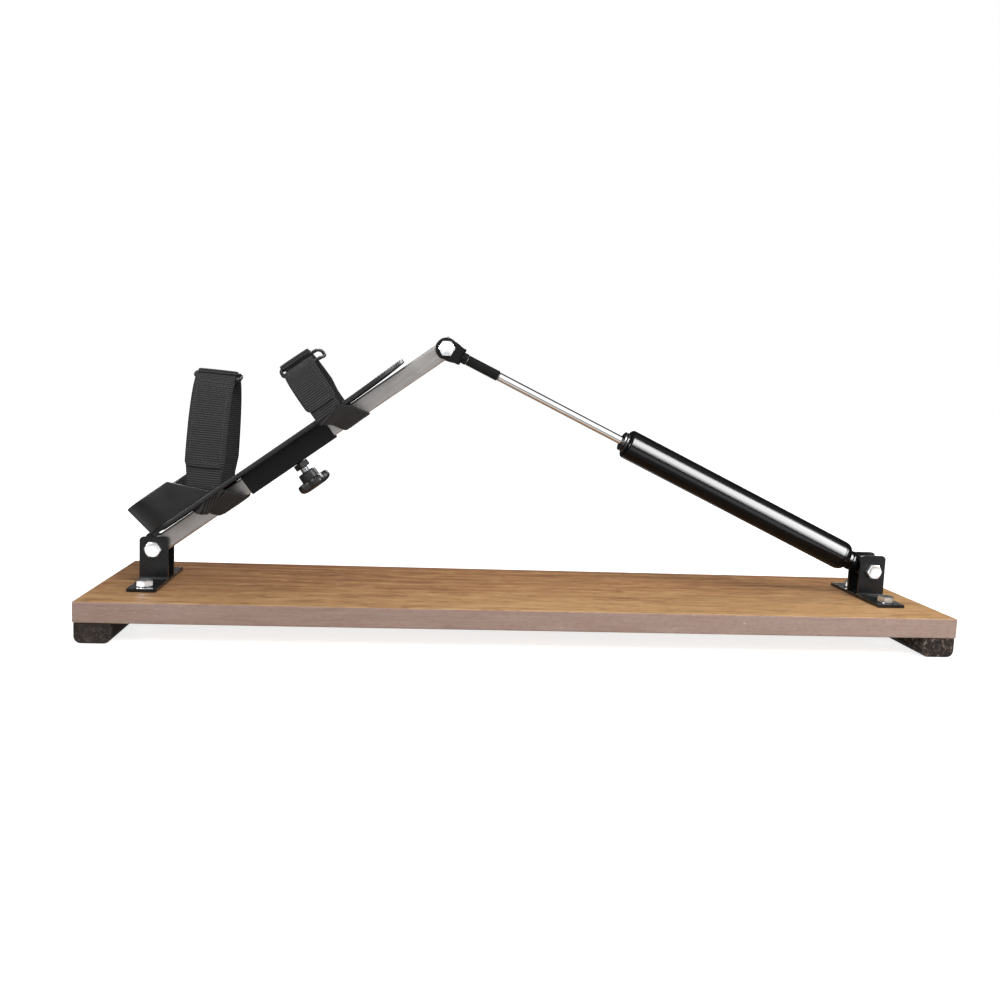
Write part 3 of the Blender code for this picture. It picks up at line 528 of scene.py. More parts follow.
def thread():
    paint = Paint("stitch_thread", 0.7)
    twist = paint.noise(PLAIN, 2500, 2.0)
    paint.colour((0.016, 0.016, 0.017), (twist, None, (0.07, 0.07, 0.073)))
    paint.bump(twist, 0.00005)
    paint.set("Sheen Weight", 0.1)
    return paint.material


OAK = oak_top()
BAND = edge_band()
TIMBER = dark_wood()
COAT = black_coat("black_coat", 0.24, (0.006, 0.006, 0.0065), 0.38)
SATIN = black_coat("black_satin", 0.38, (0.008, 0.008, 0.0085), 0.30)
GLOSS = black_coat("black_gloss", 0.14, (0.003, 0.003, 0.0035), 0.13)
DEEP = black_coat("black_deep", 0.30, (0.005, 0.005, 0.0055), 0.20)
STEEL = brushed_steel()
CHROME = chromed()
ZINC = zinc()
PLASTIC = moulded("black_plastic", (0.012, 0.012, 0.013), 0.33)
NYLON = moulded("nylon", (0.55, 0.53, 0.48), 0.5)
RUBBER = moulded("rubber", (0.012, 0.012, 0.012), 0.75)
WEBBING = webbing()
THREAD = thread()


# Fasteners: the face under the head or nut is at the origin and the head points along +Z

M8_FLATS = 13 * MM
PITCH = 1.25 * MM
THREAD_DEPTH = 0.55 * MM
CHAMFER_SLOPE = math.tan(math.radians(30))
CLEARANCE = 0.3 * MM
THREADED = 9 * MM
HEAD_TURN = 30
STUD_LOW, STUD_HIGH = local_box("clamp_stud", ARM)
BOLT_RADIUS = (STUD_HIGH.x - STUD_LOW.x) / 2
BOLT_HOLE = BOLT_RADIUS + CLEARANCE


def hex_ring(flats, height, chamfer=0.0):
    """A hexagon with a corner on +Y, its corners drawn down by a chamfer, or up by a negative one."""
    def spot(angle):
        radius = flats / 2 / math.cos((angle + math.pi / 6) % (math.pi / 3) - math.pi / 6)
        return radius, height - (radius - flats * 0.48) * CHAMFER_SLOPE * chamfer

    return ringed(TURNS, spot)


def thread_rings(radius, top, bottom, steps=TURNS):
    """Rings whose radius rises and falls as a helix, with a pointed lower end."""
    rings = []
    count = max(3, int((top - bottom) / (PITCH / 6)))
    for row in range(count + 1):
        height = top + (bottom - top) * row / count
        start = min(1.0, row / 5)
        end = min(1.0, (count - row) / 4)

        def spot(angle):
            groove = 0.5 - 0.5 * math.cos(FULL * height / PITCH - angle)
            return radius - THREAD_DEPTH * (groove * start + 1 - end), height

        rings.append(ringed(steps, spot))
    return rings


def bolt(name, height, length, place, body, node):
    """A hex bolt: dished and chamfered head, washer face, plain shank and threaded end."""
    face = 0.4 * MM
    flats = M8_FLATS
    plain = min(THREADED, length * 0.6) - length
    rings = [
        circle(flats * 0.2, height - 0.25 * MM), circle(flats * 0.4, height - 0.2 * MM),
        circle(flats * 0.44, height), circle(flats * 0.48, height), hex_ring(flats, height, 1),
        hex_ring(flats, face, -0.4), circle(flats * 0.475, face), circle(flats * 0.475, 0),
        circle(BOLT_RADIUS, 0), circle(BOLT_RADIUS, plain)]
    rings += thread_rings(BOLT_RADIUS, plain, -length)
    piece(name, skinned(rings), place, ZINC, body, node, 28)


def nut(name, height, place, body, node, flats=M8_FLATS, bore=BOLT_HOLE, material=ZINC):
    mouth = 0.6 * MM
    rings = [
        hex_ring(flats, 0, -1), hex_ring(flats, height, 1), circle(flats * 0.48, height),
        circle(bore + mouth, height), circle(bore, height - mouth), circle(bore, mouth),
        circle(bore + mouth, 0), circle(flats * 0.48, 0)]
    piece(name, skinned(rings, wrap=True), place, material, body, node, 28)


def round_ring(name, node, place, material, body, edge=0.3 * MM, bore=BOLT_HOLE):
    """A washer, spacer or bush, rebuilt round and with broken edges to its packed size."""
    low, high = local_box(node, place)
    outer = (high.x - low.x) / 2
    profile = [
        (outer - edge, high.z), (outer, high.z - edge), (outer, low.z + edge),
        (outer - edge, low.z), (bore + edge, low.z), (bore, low.z + edge),
        (bore, high.z - edge), (bore + edge, high.z)]
    piece(name, turned(profile, wrap=True), place, material, body, node)


def facing(point, towards):
    """A frame at a point whose +Z looks to the front (-1) or to the back (1)."""
    return Matrix.Translation(point) @ Matrix.Rotation(-towards * math.pi / 2, 4, "X")


def spun(place, degrees):
    return place @ Matrix.Rotation(math.radians(degrees), 4, "Z")


def flange_thickness():
    """The thickness of a bracket's flange, read at its front end."""
    points = points_of("bracket_heel_end")
    front = min(point.y for point in points)
    heights = [point.z for point in points if point.y < front + MM]
    return max(heights) - min(heights)


FLANGE_THICK = flange_thickness()


def flipped(place):
    """A frame turned over, so that its +Z looks the other way."""
    return place @ Matrix.Rotation(math.pi, 4, "X")


def flange_fasteners(where, turn):
    """Bolt and nut through one flange of a bracket and the board, with a washer below."""
    node = f"flange_bolt_{where}"
    centre = middle(node)
    low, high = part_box(node)
    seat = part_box("bracket_heel_end")[0].z + FLANGE_THICK + CLEARANCE
    place = spun(Matrix.Translation((centre.x, centre.y, seat)), turn)
    bolt(f"hex_bolt_{where}", high.z - seat, seat - low.z, place, "base", node)
    axis = Matrix.Translation((centre.x, centre.y, 0))
    round_ring(f"lower_washer_{where}", f"under_washer_{where}", axis, ZINC, "base")
    node = f"flange_nut_{where}"
    low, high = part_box(node)
    flip = flipped(Matrix.Translation((centre.x, centre.y, high.z)))
    nut(f"hex_nut_{where}", high.z - low.z, spun(flip, turn), "base", node)


def cut(target, shape, place):
    """Cuts a closed bmesh out of a piece for good."""
    tool = in_scene("cutter", mesh_of("cutter", shape), place)
    bpy.context.view_layer.update()
    modifier = target.modifiers.new("cut", "BOOLEAN")
    modifier.operation = "DIFFERENCE"
    modifier.object = tool
    graph = bpy.context.evaluated_depsgraph_get()
    result = bpy.data.meshes.new_from_object(target.evaluated_get(graph))
    target.modifiers.clear()
    target.data = result
    target.data.set_sharp_from_angle(angle=math.radians(30))
    bpy.data.objects.remove(tool)


def bar(radius, bottom, top, steps=48):
    return turned([(radius, top), (radius, bottom)], steps)


def cross_recess(size, tone_and_painted_light):
    """A cross-shaped driver recess that narrows with its depth."""
    rings = []
    rib = size * 0.2
    for share, height in ((1.05, 0.5 * MM), (1.0, 0), (0.4, -tone_and_painted_light)):
        points = []
        for quarter in range(4):
            turn = Matrix.Rotation(FULL * quarter / 4, 3, "Z")
            for x, y in ((rib, -rib), (size * share, -rib * share), (size * share, rib * share)):
                points.append(turn @ Vector((x, y, height)))
        rings.append(points)
    return skinned(rings)


def cleat_screw(where):
    """A countersunk wood screw seen from below, with a cross recess."""
    node = f"cleat_screw_{where}"
    low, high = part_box(node)
    centre = middle(node)
    head = (high.x - low.x) / 2
    shank = head / 2
    length = high.z - low.z
    place = flipped(Matrix.Translation((centre.x, centre.y, low.z)))
    rings = [
        circle(head * 0.95, 0, 48), circle(head, -0.25 * MM, 48),
        circle(shank, -0.3 * MM - (head - shank), 48)]
    rings += thread_rings(shank, -length * 0.45, -length, 48)
    made = piece(f"wood_screw_{where}", skinned(rings), place, ZINC, "base", node)
    cut(made, cross_recess(head * 0.62, 1.8 * MM), place)


def bracket_ear_half():
    """Half the distance between the outer faces of a bracket's ears."""
    points = points_of("bracket_heel_end")
    top = max(point.z for point in points)
    return max(abs(point.y) for point in points if point.z > top - MM)


EAR_HALF = bracket_ear_half()


def pivot_fasteners():
    """The bolt and nut of each pivot, seated on the outer faces of the ears they pass through."""
    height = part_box("arm_pivot_nut")[1].y - EAR_HALF - CLEARANCE
    for pivot, body, half in (("arm_pivot", "base", EAR_HALF), ("damper_pivot", "base", EAR_HALF),
                              ("tip_pivot", "damper_rod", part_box("damper_fork")[1].y)):
        seat = half + CLEARANCE
        centre = middle(f"{pivot}_bolt")
        low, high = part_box(f"{pivot}_bolt")
        place = spun(facing((centre.x, -seat, centre.z), -1), HEAD_TURN)
        bolt(f"{pivot}_hex_bolt", -seat - low.y, high.y + seat, place, body, f"{pivot}_bolt")
        place = spun(facing((centre.x, seat, centre.z), 1), HEAD_TURN)
        node = f"{pivot}_nut"
        nut(f"{pivot}_hex_nut", height, place, body, node)
        low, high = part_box(node)
        if low.y < half:
            bottom, top = low.y - seat, high.y - seat
            rings = [circle(BOLT_RADIUS, bottom)]
            for row in thread_rings(BOLT_RADIUS, -bottom, -top):
                rings.append([Vector((point.x, point.y, -point.z)) for point in row])
            piece(f"{pivot}_stud", skinned(rings), place, ZINC, body, node)


# Pieces kept from the frame, given rounded edges and their own materials

def dressed(node, material, edge):
    """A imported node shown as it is, welded, with broken edges."""
    made = frame["nodes"][node]
    made.data.materials.clear()
    made.data.materials.append(material)
    weld = made.modifiers.new("weld", "WELD")
    weld.merge_threshold = 0.00001
    bevel = made.modifiers.new("broken_edge", "BEVEL")
    bevel.width = edge
    bevel.segments = 3
    bevel.limit_method = "ANGLE"
    bevel.angle_limit = math.radians(42)
    bevel.harden_normals = False
    return made


def board():
    """Oak on the faces and edging round the sides."""
    made = dressed("board", OAK, 0.4 * MM)
    made.data.materials.append(BAND)
    for polygon in made.data.polygons:
        polygon.material_index = 0 if abs(polygon.normal.z) > 0.5 else 1


def kept_pieces():
    board()
    for end in ("heel", "damper"):
        dressed(f"cleat_{end}_end", TIMBER, 0.5 * MM)
        dressed(f"bracket_{end}_end", COAT, 0.45 * MM)
    for node, material, edge in (
            ("arm_tube", STEEL, 0.3), ("slide_sleeve", DEEP, 0.35), ("damper_piston", STEEL, 0.2),
            ("piston_seal", RUBBER, 0.2), ("rod_seal", RUBBER, 0.3), ("piston_nut", ZINC, 0.2)):
        dressed(node, material, edge * MM)


# Foot plate and heel cup, in the arm's axes

PLATE_LOW, PLATE_HIGH = local_box("foot_plate", ARM)
CUP_LOW, CUP_HIGH = local_box("heel_cup", ARM)
SLEEVE_LOW, SLEEVE_HIGH = local_box("slide_sleeve", ARM)
PLATE_HALF = PLATE_HIGH.y
HEEL_ROUND = PLATE_HALF * 0.70
TOE_ROUND = PLATE_HALF * 0.90
TOE_REACH = 75 * MM
TOE_LIFT = 2.4 * MM
TOE_CUTS = 15


def plate_outline(inset, steps=24):
    """The foot plate's outline, drawn in by an inset: a rounder toe and a squarer heel."""
    toe, heel = PLATE_HIGH.x - TOE_ROUND, PLATE_LOW.x + HEEL_ROUND
    points = []
    for u, side, radius, start in (
            (toe, 1, TOE_ROUND, 0), (heel, 1, HEEL_ROUND, 90), (heel, -1, HEEL_ROUND, 180),
            (toe, -1, TOE_ROUND, 270)):
        centre = (u, side * (PLATE_HALF - radius))
        points += arc(centre, radius - inset, start, start + 90, steps)
    return points


def foot_plate():
    """A sheet with a turned-down lip, broken edges and a toe end that lifts a little."""
    edge = 0.8 * MM
    lip = 2.4 * MM
    low, high = PLATE_LOW.z, PLATE_HIGH.z
    rings = []
    for inset, height, deep in (
            (lip, low, 0), (lip, low, 1), (edge * 0.5, low, 1), (0, low + edge * 0.5, 1),
            (0, high - edge, 0), (edge * 0.3, high - edge * 0.3, 0), (edge, high, 0)):
        rings.append([
            Vector((x, y, height - deep * lip_depth(x, y))) for x, y in plate_outline(inset)])
    shape = skinned(rings)
    lift_toe(shape)
    made = piece("sole_plate", shape, ARM, SATIN, "foot_carriage", "foot_plate")
    ankle = strap_measures("ankle_strap")
    for across in (-1, 1):
        cut(made, slot_shape(ankle, across), ARM)


def lip_depth(x, y):
    """How far the plate's lip hangs down: hardly at the heel, where the bracket's ears pass."""
    beyond_ears = max((x - PLATE_LOW.x - 12 * MM) / (14 * MM), (abs(y) - 15 * MM) / (6 * MM))
    return (0.3 + 1.1 * held(beyond_ears)) * MM


def lift_toe(shape):
    """Bends the plate's toe end up a little, away from the tube."""
    start = PLATE_HIGH.x - TOE_REACH
    for i in range(TOE_CUTS):
        bmesh.ops.bisect_plane(
            shape, geom=shape.verts[:] + shape.edges[:] + shape.faces[:],
            plane_co=(start + TOE_REACH * i / TOE_CUTS, 0, 0), plane_no=(1, 0, 0))
    for vertex in shape.verts:
        share = max(0.0, (vertex.co.x - start) / TOE_REACH)
        vertex.co.z += TOE_LIFT * share ** 2


def slot_shape(strap, across):
    """A round-ended slot through the plate, a little longer and wider than the webbing."""
    half_length = strap["width"] / 2 + 0.6 * MM
    half_gap = 1.6 * MM
    outline = []
    for end, start in ((1, -90), (-1, 90)):
        centre = (strap["edge_u"] + end * (half_length - half_gap), across * strap["side"])
        outline += arc(centre, half_gap, start, start + 180)
    heights = (PLATE_LOW.z - 2 * MM, PLATE_HIGH.z + MM)
    return skinned([[Vector((x, y, height)) for x, y in outline] for height in heights])


def cup_stations():
    """Points round the heel cup with their outward directions, from one front end to the other."""
    centre = Vector((PLATE_LOW.x + HEEL_ROUND, PLATE_HALF - HEEL_ROUND))
    made = []
    for i in range(41):
        u = CUP_HIGH.x + (centre.x - CUP_HIGH.x) * i / 40
        made.append((Vector((u, PLATE_HALF)), Vector((0, 1))))
    for i in range(1, 33):
        angle = math.radians(90 + 90 * i / 32)
        out = Vector((math.cos(angle), math.sin(angle)))
        made.append((centre + out * HEEL_ROUND, out))
    across = [centre.y - 2 * centre.y * i / 8 for i in range(1, 8)]
    other = [(Vector((spot.x, -spot.y)), Vector((out.x, -out.y))) for spot, out in reversed(made)]
    return made + [(Vector((PLATE_LOW.x, y)), Vector((-1, 0))) for y in across] + other


def heel_cup():
    """Sheet bent round the heel, its rim falling to the plate at both front ends."""
    wall = 2 * MM
    bottom = CUP_LOW.z
    height = CUP_HIGH.z - bottom
    lean = PLATE_LOW.x - CUP_LOW.x
    rim = [point.x for point in points_of("heel_cup", ARM) if point.z > CUP_HIGH.z - 0.5 * MM]
    slope_start = max(rim) + lean
    rings = []
    for spot, out in cup_stations():
        share = max(0.0, (spot.x - slope_start) / (CUP_HIGH.x - slope_start))
        top = max(height * (1 - share), 0.8 * MM)
        bend = min(wall / 2, top / 2)
        flat = top - bend
        section = [(-1, 0), (-1, flat * 0.33), (-1, flat * 0.66)]
        for k in range(9):
            turn = math.pi * k / 8
            section.append((-math.cos(turn), flat + bend * math.sin(turn)))
        section += [(1, flat * 0.66), (1, flat * 0.33), (1, 0)]
        points = []
        for side, rise in section:
            point = spot - out * wall / 2 + out * side * wall / 2
            points.append(Vector((point.x - lean * rise / height, point.y, bottom + rise)))
        rings.append(points)
    piece("heel_band", skinned(rings), ARM, SATIN, "foot_carriage", "heel_cup", 40)


def weld_beads():
    """Rows of overlapping weld ripples along both sides of the sleeve, under the foot plate."""
    count = 150
    start, end = SLEEVE_LOW.x + 4 * MM, SLEEVE_HIGH.x - 4 * MM
    for side, name in ((-1, "front"), (1, "back")):
        rings = []
        for i in range(count + 1):
            u = start + (end - start) * i / count
            swell = 1.5 * MM + 0.25 * MM * math.sin(FULL * i / 5)
            if i in (0, count):
                swell = 0.3 * MM
            wobble = 0.15 * MM * noise.noise(Vector((u * 300, side, 0)))
            y = side * (SLEEVE_HIGH.y + wobble + 0.2 * MM)
            v = SLEEVE_HIGH.z - 0.9 * MM
            rings.append([
                Vector((u - 0.3 * MM * cos, y + swell * cos * 0.8, v + swell * sin * 0.6))
                for cos, sin in full_turn(10)])
        piece(f"weld_bead_{name}", skinned(rings), ARM, SATIN, "foot_carriage", angle=60)


# Clamp

KNOB_LOBES = 5
KNOB_STEPS = KNOB_LOBES * 24
KNOB_NOTCH = math.radians(-104)
CLAMP = ARM @ Matrix.Translation(((STUD_LOW.x + STUD_HIGH.x) / 2, 0, 0))


def lobed(radius, tone_and_painted_light, height):
    """A ring with rounded notches, one of them near the side that faces the camera."""
    def spot(angle):
        wave = (1 + math.cos(KNOB_LOBES * (angle - KNOB_NOTCH))) / 2
        return radius - tone_and_painted_light * wave ** 1.6, height

    return ringed(KNOB_STEPS, spot)


def clamp():
    """Weld nut and threaded stud."""
    low, high = local_box("clamp_nut", ARM)
    place = flipped(CLAMP) @ Matrix.Translation((0, 0, -high.z))
    nut("weld_nut", high.z - low.z, place, "foot_carriage", "clamp_nut", material=SATIN)
    rings = thread_rings(BOLT_RADIUS, STUD_HIGH.z, STUD_LOW.z)
    piece("threaded_stud", skinned(rings), CLAMP, ZINC, "clamp_stud", "clamp_stud")


def knob():
    """A hub with a lobed head below it, its face domed away from the sleeve."""
    low, high = local_box("clamp_knob", ARM)
    radius = (high.x - low.x) / 2
    hub = radius * 0.52
    face = low.z - high.z
    head = face * 0.47
    rim = radius * 0.13
    tone_and_painted_light = radius * 0.17
    skirt = head - rim - (head - rim - face) * 0.40
    rings = [circle(size, height, KNOB_STEPS) for size, height in (
        (BOLT_HOLE, face * 0.35), (BOLT_HOLE, 0), (hub - MM, 0), (hub, -MM),
        (hub + 0.3 * MM, head))]
    rings += [
        lobed(radius - rim, tone_and_painted_light * 0.8, head), lobed(radius - rim * 0.3, tone_and_painted_light, head - rim * 0.3),
        lobed(radius, tone_and_painted_light, head - rim), lobed(radius, tone_and_painted_light, skirt)]
    for step in range(1, 11):
        turn = math.pi / 2 * step / 10
        share = math.cos(turn)
        height = skirt + (face - skirt) * math.sin(turn)
        rings.append(lobed(radius * 0.55 + radius * 0.45 * share, tone_and_painted_light * share, height))
    for share, sunk in ((0.30, 0.2), (0.27, 0.7), (0.05, 0.8)):
        rings.append(circle(radius * share, face + sunk * MM, KNOB_STEPS))
    place = CLAMP @ Matrix.Translation((0, 0, high.z))
    piece("lobed_knob", skinned(rings), place, PLASTIC, "knob", "clamp_knob", 40)


# Damper: TIP's and EYE's +Z runs from the eye to the arm's tip

ROD_BORE = 3.3 * MM
EYE_HALF = local_box("eye_bush", EYE)[1].y
BARREL_LOW, BARREL_HIGH = local_box("barrel_tube", EYE)


def fork_line(thick):
    """The fork's middle line from ear to ear: y, z and the strap's half width at each point."""
    low, high = local_box("damper_fork", TIP)
    ear = thick / 2 - high.y
    floor = low.z
    bend = 2.2 * MM
    web = max(point.x for point in points_of("damper_fork", TIP) if point.z < floor + 0.5 * MM)
    line = []
    for i in range(33):
        turn = math.pi / 2 * (1 - i / 32)
        line.append((ear, high.x * math.sin(turn), high.x * math.cos(turn)))
    line.append((ear, floor / 2, (high.x + web) / 2))
    for i in range(9):
        turn = math.pi + math.pi / 2 * i / 8
        line.append((
            ear + bend + bend * math.cos(turn), floor + thick / 2 + bend + bend * math.sin(turn),
            web))
    return line + [(-y, z, half) for y, z, half in reversed(line)]


def fork():
    """A strap bent round the arm's tip, with rounded ears and bend radii at the web."""
    thick = 3 * MM
    line = fork_line(thick)
    spots = [Vector((y, z)) for y, z, half in line]
    rings = []
    for index, (y, z, half) in enumerate(line):
        along = heading(spots, index)
        half = max(half, 0.6 * MM)
        across = Vector((0, -along.y, along.x))
        section = rounded_box(half, thick / 2, min(0.5 * MM, half * 0.4), 3)
        rings.append([Vector((x, y, z)) + across * n for x, n in section])
    made = piece("bent_fork", skinned(rings), TIP, DEEP, "damper_rod", "damper_fork", 35)
    low, high = local_box("damper_fork", TIP)
    cut(made, bar(BOLT_HOLE, -2 * high.y, 2 * high.y), TIP @ ACROSS)
    cut(made, bar(ROD_BORE, 2 * low.z, low.z / 2), TIP)


def rod_pieces():
    """Lock nut, rod end, and the chromed rod, which narrows inside the rod end and the piston."""
    low, high = local_box("rod_lock_nut", TIP)
    flats = min(high.x - low.x, high.y - low.y)
    place = TIP @ Matrix.Translation((0, 0, low.z))
    nut("lock_nut", high.z - low.z, place, "damper_rod", "rod_lock_nut", flats, ROD_BORE, DEEP)
    low, high = local_box("rod_end_sleeve", TIP)
    outline = [(ROD_BORE, high.z), (high.x, high.z), (high.x, low.z), (ROD_BORE, low.z)]
    profile = rounded(outline, 0.8 * MM) + [(ROD_BORE, low.z + MM)]
    piece("rod_end", turned(profile, wrap=True), TIP, DEEP, "damper_rod", "rod_end_sleeve")
    top = low.z - CLEARANCE
    foot = local_box("damper_piston", TIP)[1].z + CLEARANCE
    low, high = local_box("damper_rod", TIP)
    radius = high.x
    neck = radius * 0.75
    profile = [
        (neck, high.z), (neck, top), (radius - 0.5 * MM, top), (radius, top - 0.5 * MM),
        (radius, foot), (neck, foot), (neck, low.z)]
    piece("piston_rod", turned(profile, 96), TIP, CHROME, "damper_rod", "damper_rod")


def barrel():
    """Tube with its top edge rolled over the gland."""
    low, high, radius = BARREL_LOW.z, BARREL_HIGH.z, BARREL_HIGH.x
    bore = radius - 1.5 * MM
    roll = 3.2 * MM
    lip = radius * 0.71
    profile = [
        (lip, high - 0.4 * MM), (lip + 0.6 * MM, high),
        *arc((radius - roll, high - roll), roll, 86, 0, 12), (radius, low + 0.4 * MM),
        (radius - 0.4 * MM, low), (bore, low), (bore, high - roll), (lip, high - roll)]
    shape = turned(profile, 128, wrap=True)
    piece("barrel", shape, EYE, GLOSS, "damper_barrel", "barrel_tube", 40)


def gland():
    """Two stepped rings that close the barrel's top round the rod."""
    low, high = local_box("rod_gland", EYE)
    ring = 9.5 * MM
    seat = BARREL_HIGH.z - 3 * MM - CLEARANCE
    rise = high.z - BARREL_HIGH.z
    profile = [(high.x, low.z), (high.x, seat), (ring, seat)]
    for share, up in ((1, 0.34), (0.88, 0.42), (0.88, 0.50), (0.97, 0.58), (0.97, 0.88), (0.84, 1)):
        profile.append((ring * share, BARREL_HIGH.z + rise * up))
    profile += [
        (BOLT_HOLE + 1.2 * MM, high.z), (BOLT_HOLE, high.z - 0.8 * MM), (BOLT_HOLE, low.z)]
    shape = turned(rounded(profile, 0.35 * MM, 2), 96, wrap=True)
    piece("gland", shape, EYE, COAT, "damper_barrel", "rod_gland", 45)


def eye_end():
    """Plug, rounded shoulder, grooved neck and the eye with its bush."""
    low, high = local_box("barrel_eye", EYE)
    radius = BARREL_HIGH.x
    plug = radius - 1.8 * MM
    neck = radius * 0.66
    eye = -low.z
    shoulder = BARREL_LOW.z - CLEARANCE
    foot = shoulder - 7.7 * MM
    profile = [(plug, high.z), (plug, shoulder)]
    for i in range(11):
        turn = math.pi / 2 * i / 10
        profile.append((
            neck + (radius - neck) * math.cos(turn), shoulder + (foot - shoulder) * math.sin(turn)))
    for below, share in ((2.3, 1), (2.6, 0.86), (3.9, 0.86), (4.2, 1), (7, 1)):
        profile.append((neck * share, foot - below * MM))
    profile += [(EYE_HALF - MM, eye * 0.9), (EYE_HALF - MM, eye * 0.7)]
    made = piece("eye_plug", turned(profile, 96), EYE, GLOSS, "damper_barrel", "barrel_eye", 40)
    across = EYE @ ACROSS
    edge = 0.7 * MM
    bore = local_box("eye_bush", across)[1].x + CLEARANCE
    profile = [
        (eye - edge, EYE_HALF), (eye, EYE_HALF - edge), (eye, edge - EYE_HALF),
        (eye - edge, -EYE_HALF), (bore, -EYE_HALF), (bore, EYE_HALF)]
    shape = turned(profile, 96, wrap=True)
    piece("eye_lug", shape, across, GLOSS, "damper_barrel", angle=40)
    cut(made, bar(eye - edge, -2 * EYE_HALF, 2 * EYE_HALF, 96), across)
    round_ring("pivot_bush", "eye_bush", across, NYLON, "damper_barrel")


def arm_spacers():
    place = Matrix.Translation(ARM.translation) @ ACROSS
    for side in ("front", "back"):
        round_ring(f"nylon_washer_{side}", f"arm_spacer_{side}", place, NYLON, "arm", 0.15 * MM)


# Straps, in the arm's axes

WEB = 1.5 * MM
INNER_LIFT = -0.35 * MM
OUTER_LIFT = 1.35 * MM
WIRE = 1.6 * MM
FOLD = WIRE + WEB / 2 + 0.15 * MM
SLANT_Y = PLATE_HALF * 0.8
ARCH_START = 24 * MM
FOOT_MIDDLE = 20 * MM
TAIL = 28 * MM
STEP = 1.2 * MM
COLUMNS = 18
STRAP_CORNER = 5 * MM
SEAM = 0.78
STITCH_PITCH = 3.1 * MM
STITCH_SHARE = 0.78
STITCH_RADIUS = 0.28 * MM


def average(points):
    return sum(points, Vector()) / len(points)


def distances(points):
    """How far along a line each of its points lies."""
    made = [0.0]
    for before, after in zip(points, points[1:]):
        made.append(made[-1] + (after - before).length)
    return made


def strap_measures(node):
    """Where a packed strap runs: under the tube, past the plate and over the foot."""
    points = points_of(node, ARM)
    central = [point for point in points if abs(point.y) < MM]
    sole = [point for point in central if point.z < 0]
    crown = average([point for point in central if point.z > 0])
    edge = average([point for point in points if abs(point.z - PLATE_HIGH.z) < 1.5 * MM])
    return {
        "under": average(sole), "crown": crown, "edge_u": edge.x,
        "width": max(point.x for point in sole) - min(point.x for point in sole),
        "side": max(point.y for point in points) - MM,
        "lean": (crown.x - edge.x) / (crown.z - edge.z)}


def arch(strap, start_y, top, end_y, sweep):
    """One side of a strap over the foot, from its top down to where it hangs straight."""
    most, least = math.sin(sweep), math.cos(sweep)
    made = []
    for i in range(41):
        turn = sweep * (1 - i / 40)
        v = ARCH_START + (top - ARCH_START) * (math.sin(turn) / most) ** 0.8
        out = max((math.cos(turn) - least) / (1 - least), 0) ** 0.75
        u = strap["edge_u"] + (v - PLATE_HIGH.z) * strap["lean"]
        made.append(Vector((u, start_y + (end_y - start_y) * out, v)))
    return made


def strap_course(strap):
    """The strap's middle line from the ring's far bar down the back, under and up the front."""
    crown, under, side, u = strap["crown"], strap["under"], strap["side"], strap["edge_u"]
    bar_y, bar_v = strap["near_bar"]
    back = arch(strap, 0, crown.z, side, math.pi / 2)
    front = arch(strap, bar_y, crown.z + bar_v, -side, math.radians(68))
    far_bar = Vector((back[0].x, strap["far_bar"], crown.z))
    below = [Vector(spot) for spot in (
        (u, side, PLATE_HIGH.z), (u, side - 0.5 * MM, PLATE_LOW.z - MM),
        ((u + under.x) / 2, SLANT_Y, 3.8 * MM),
        (under.x, SLEEVE_HIGH.y * 1.15, under.z + 0.6 * MM),
        (under.x, SLEEVE_HIGH.y * 0.8, under.z), (under.x, 0, under.z))]
    other = [Vector((point.x, -point.y, point.z)) for point in reversed(below[:-1])]
    return evened([far_bar, *back, *below, *other, *reversed(front)])


def evened(points):
    """The same line, cut into equal steps and softened."""
    lengths = distances(points)
    count = max(2, round(lengths[-1] / STEP))
    made = []
    index = 0
    for i in range(count + 1):
        distance = lengths[-1] * i / count
        while index < len(points) - 2 and lengths[index + 1] < distance:
            index += 1
        share = (distance - lengths[index]) / (lengths[index + 1] - lengths[index])
        made.append(points[index].lerp(points[index + 1], share))
    for _ in range(3):
        inner = [(a + 2 * b + c) / 4 for a, b, c in zip(made, made[1:], made[2:])]
        made = [made[0], *inner, made[-1]]
    return made


def outward(direction, point):
    """The same direction, turned to point away from the middle of the foot."""
    inwards = direction.dot(point - Vector((point.x, 0, FOOT_MIDDLE))) < 0
    return -direction if inwards else direction


def framed(strap, line):
    """Each point of a line with the strap's width direction and its outward direction there.

    The strap lies square to the arm at the plate and turns with its lean above it.
    """
    made = []
    for index, point in enumerate(line):
        along = heading(line, index)
        blend = held((point.z - PLATE_HIGH.z) / (24 * MM))
        width = square_to(Vector((1, 0, -strap["lean"] * blend)).normalized(), along)
        made.append((point, width, outward(width.cross(along), point)))
    return made


def strap_path(strap):
    """The whole webbing: tail, back bar, under the foot, front bar and the layer folded down."""
    line = strap_course(strap)
    inner = framed(strap, line)
    along = distances(line)

    def lifted(index, lift, at_bar, distance, layer):
        """A point of a layer, which swings away from the middle line close to a ring bar."""
        point, width, out = inner[index]
        share = held(distance / (11 * MM))
        swing = 1 - share * share * (3 - 2 * share)
        return point + out * (lift + (at_bar - lift) * swing), width, layer

    path = [lifted(i, OUTER_LIFT, FOLD, along[i], 0) for i in range(int(TAIL / STEP), -1, -1)]
    path += bar_turn(inner[0], -1)
    for i, distance in enumerate(along):
        path.append(lifted(i, INNER_LIFT, -FOLD, min(distance, along[-1] - distance), 1))
    path += bar_turn(inner[-1], 1)
    for i in range(len(inner) - 1, 0, -1):
        path.append(lifted(i, OUTER_LIFT, FOLD, along[-1] - along[i], 2))
        if line[i].z < strap["end_v"]:
            break
    return path, inner[0], inner[-1]


def bar_turn(entry, towards):
    """Half a turn round a ring bar, on the side that faces the middle of the ring."""
    point, width, out = entry
    side = square_to(Vector((0, towards, 0)), out)
    made = []
    for i in range(1, 10):
        angle = math.pi * i / 10
        spot = point - out * (towards * FOLD * math.cos(angle)) + side * (FOLD * math.sin(angle))
        made.append((spot, width, 3))
    return made


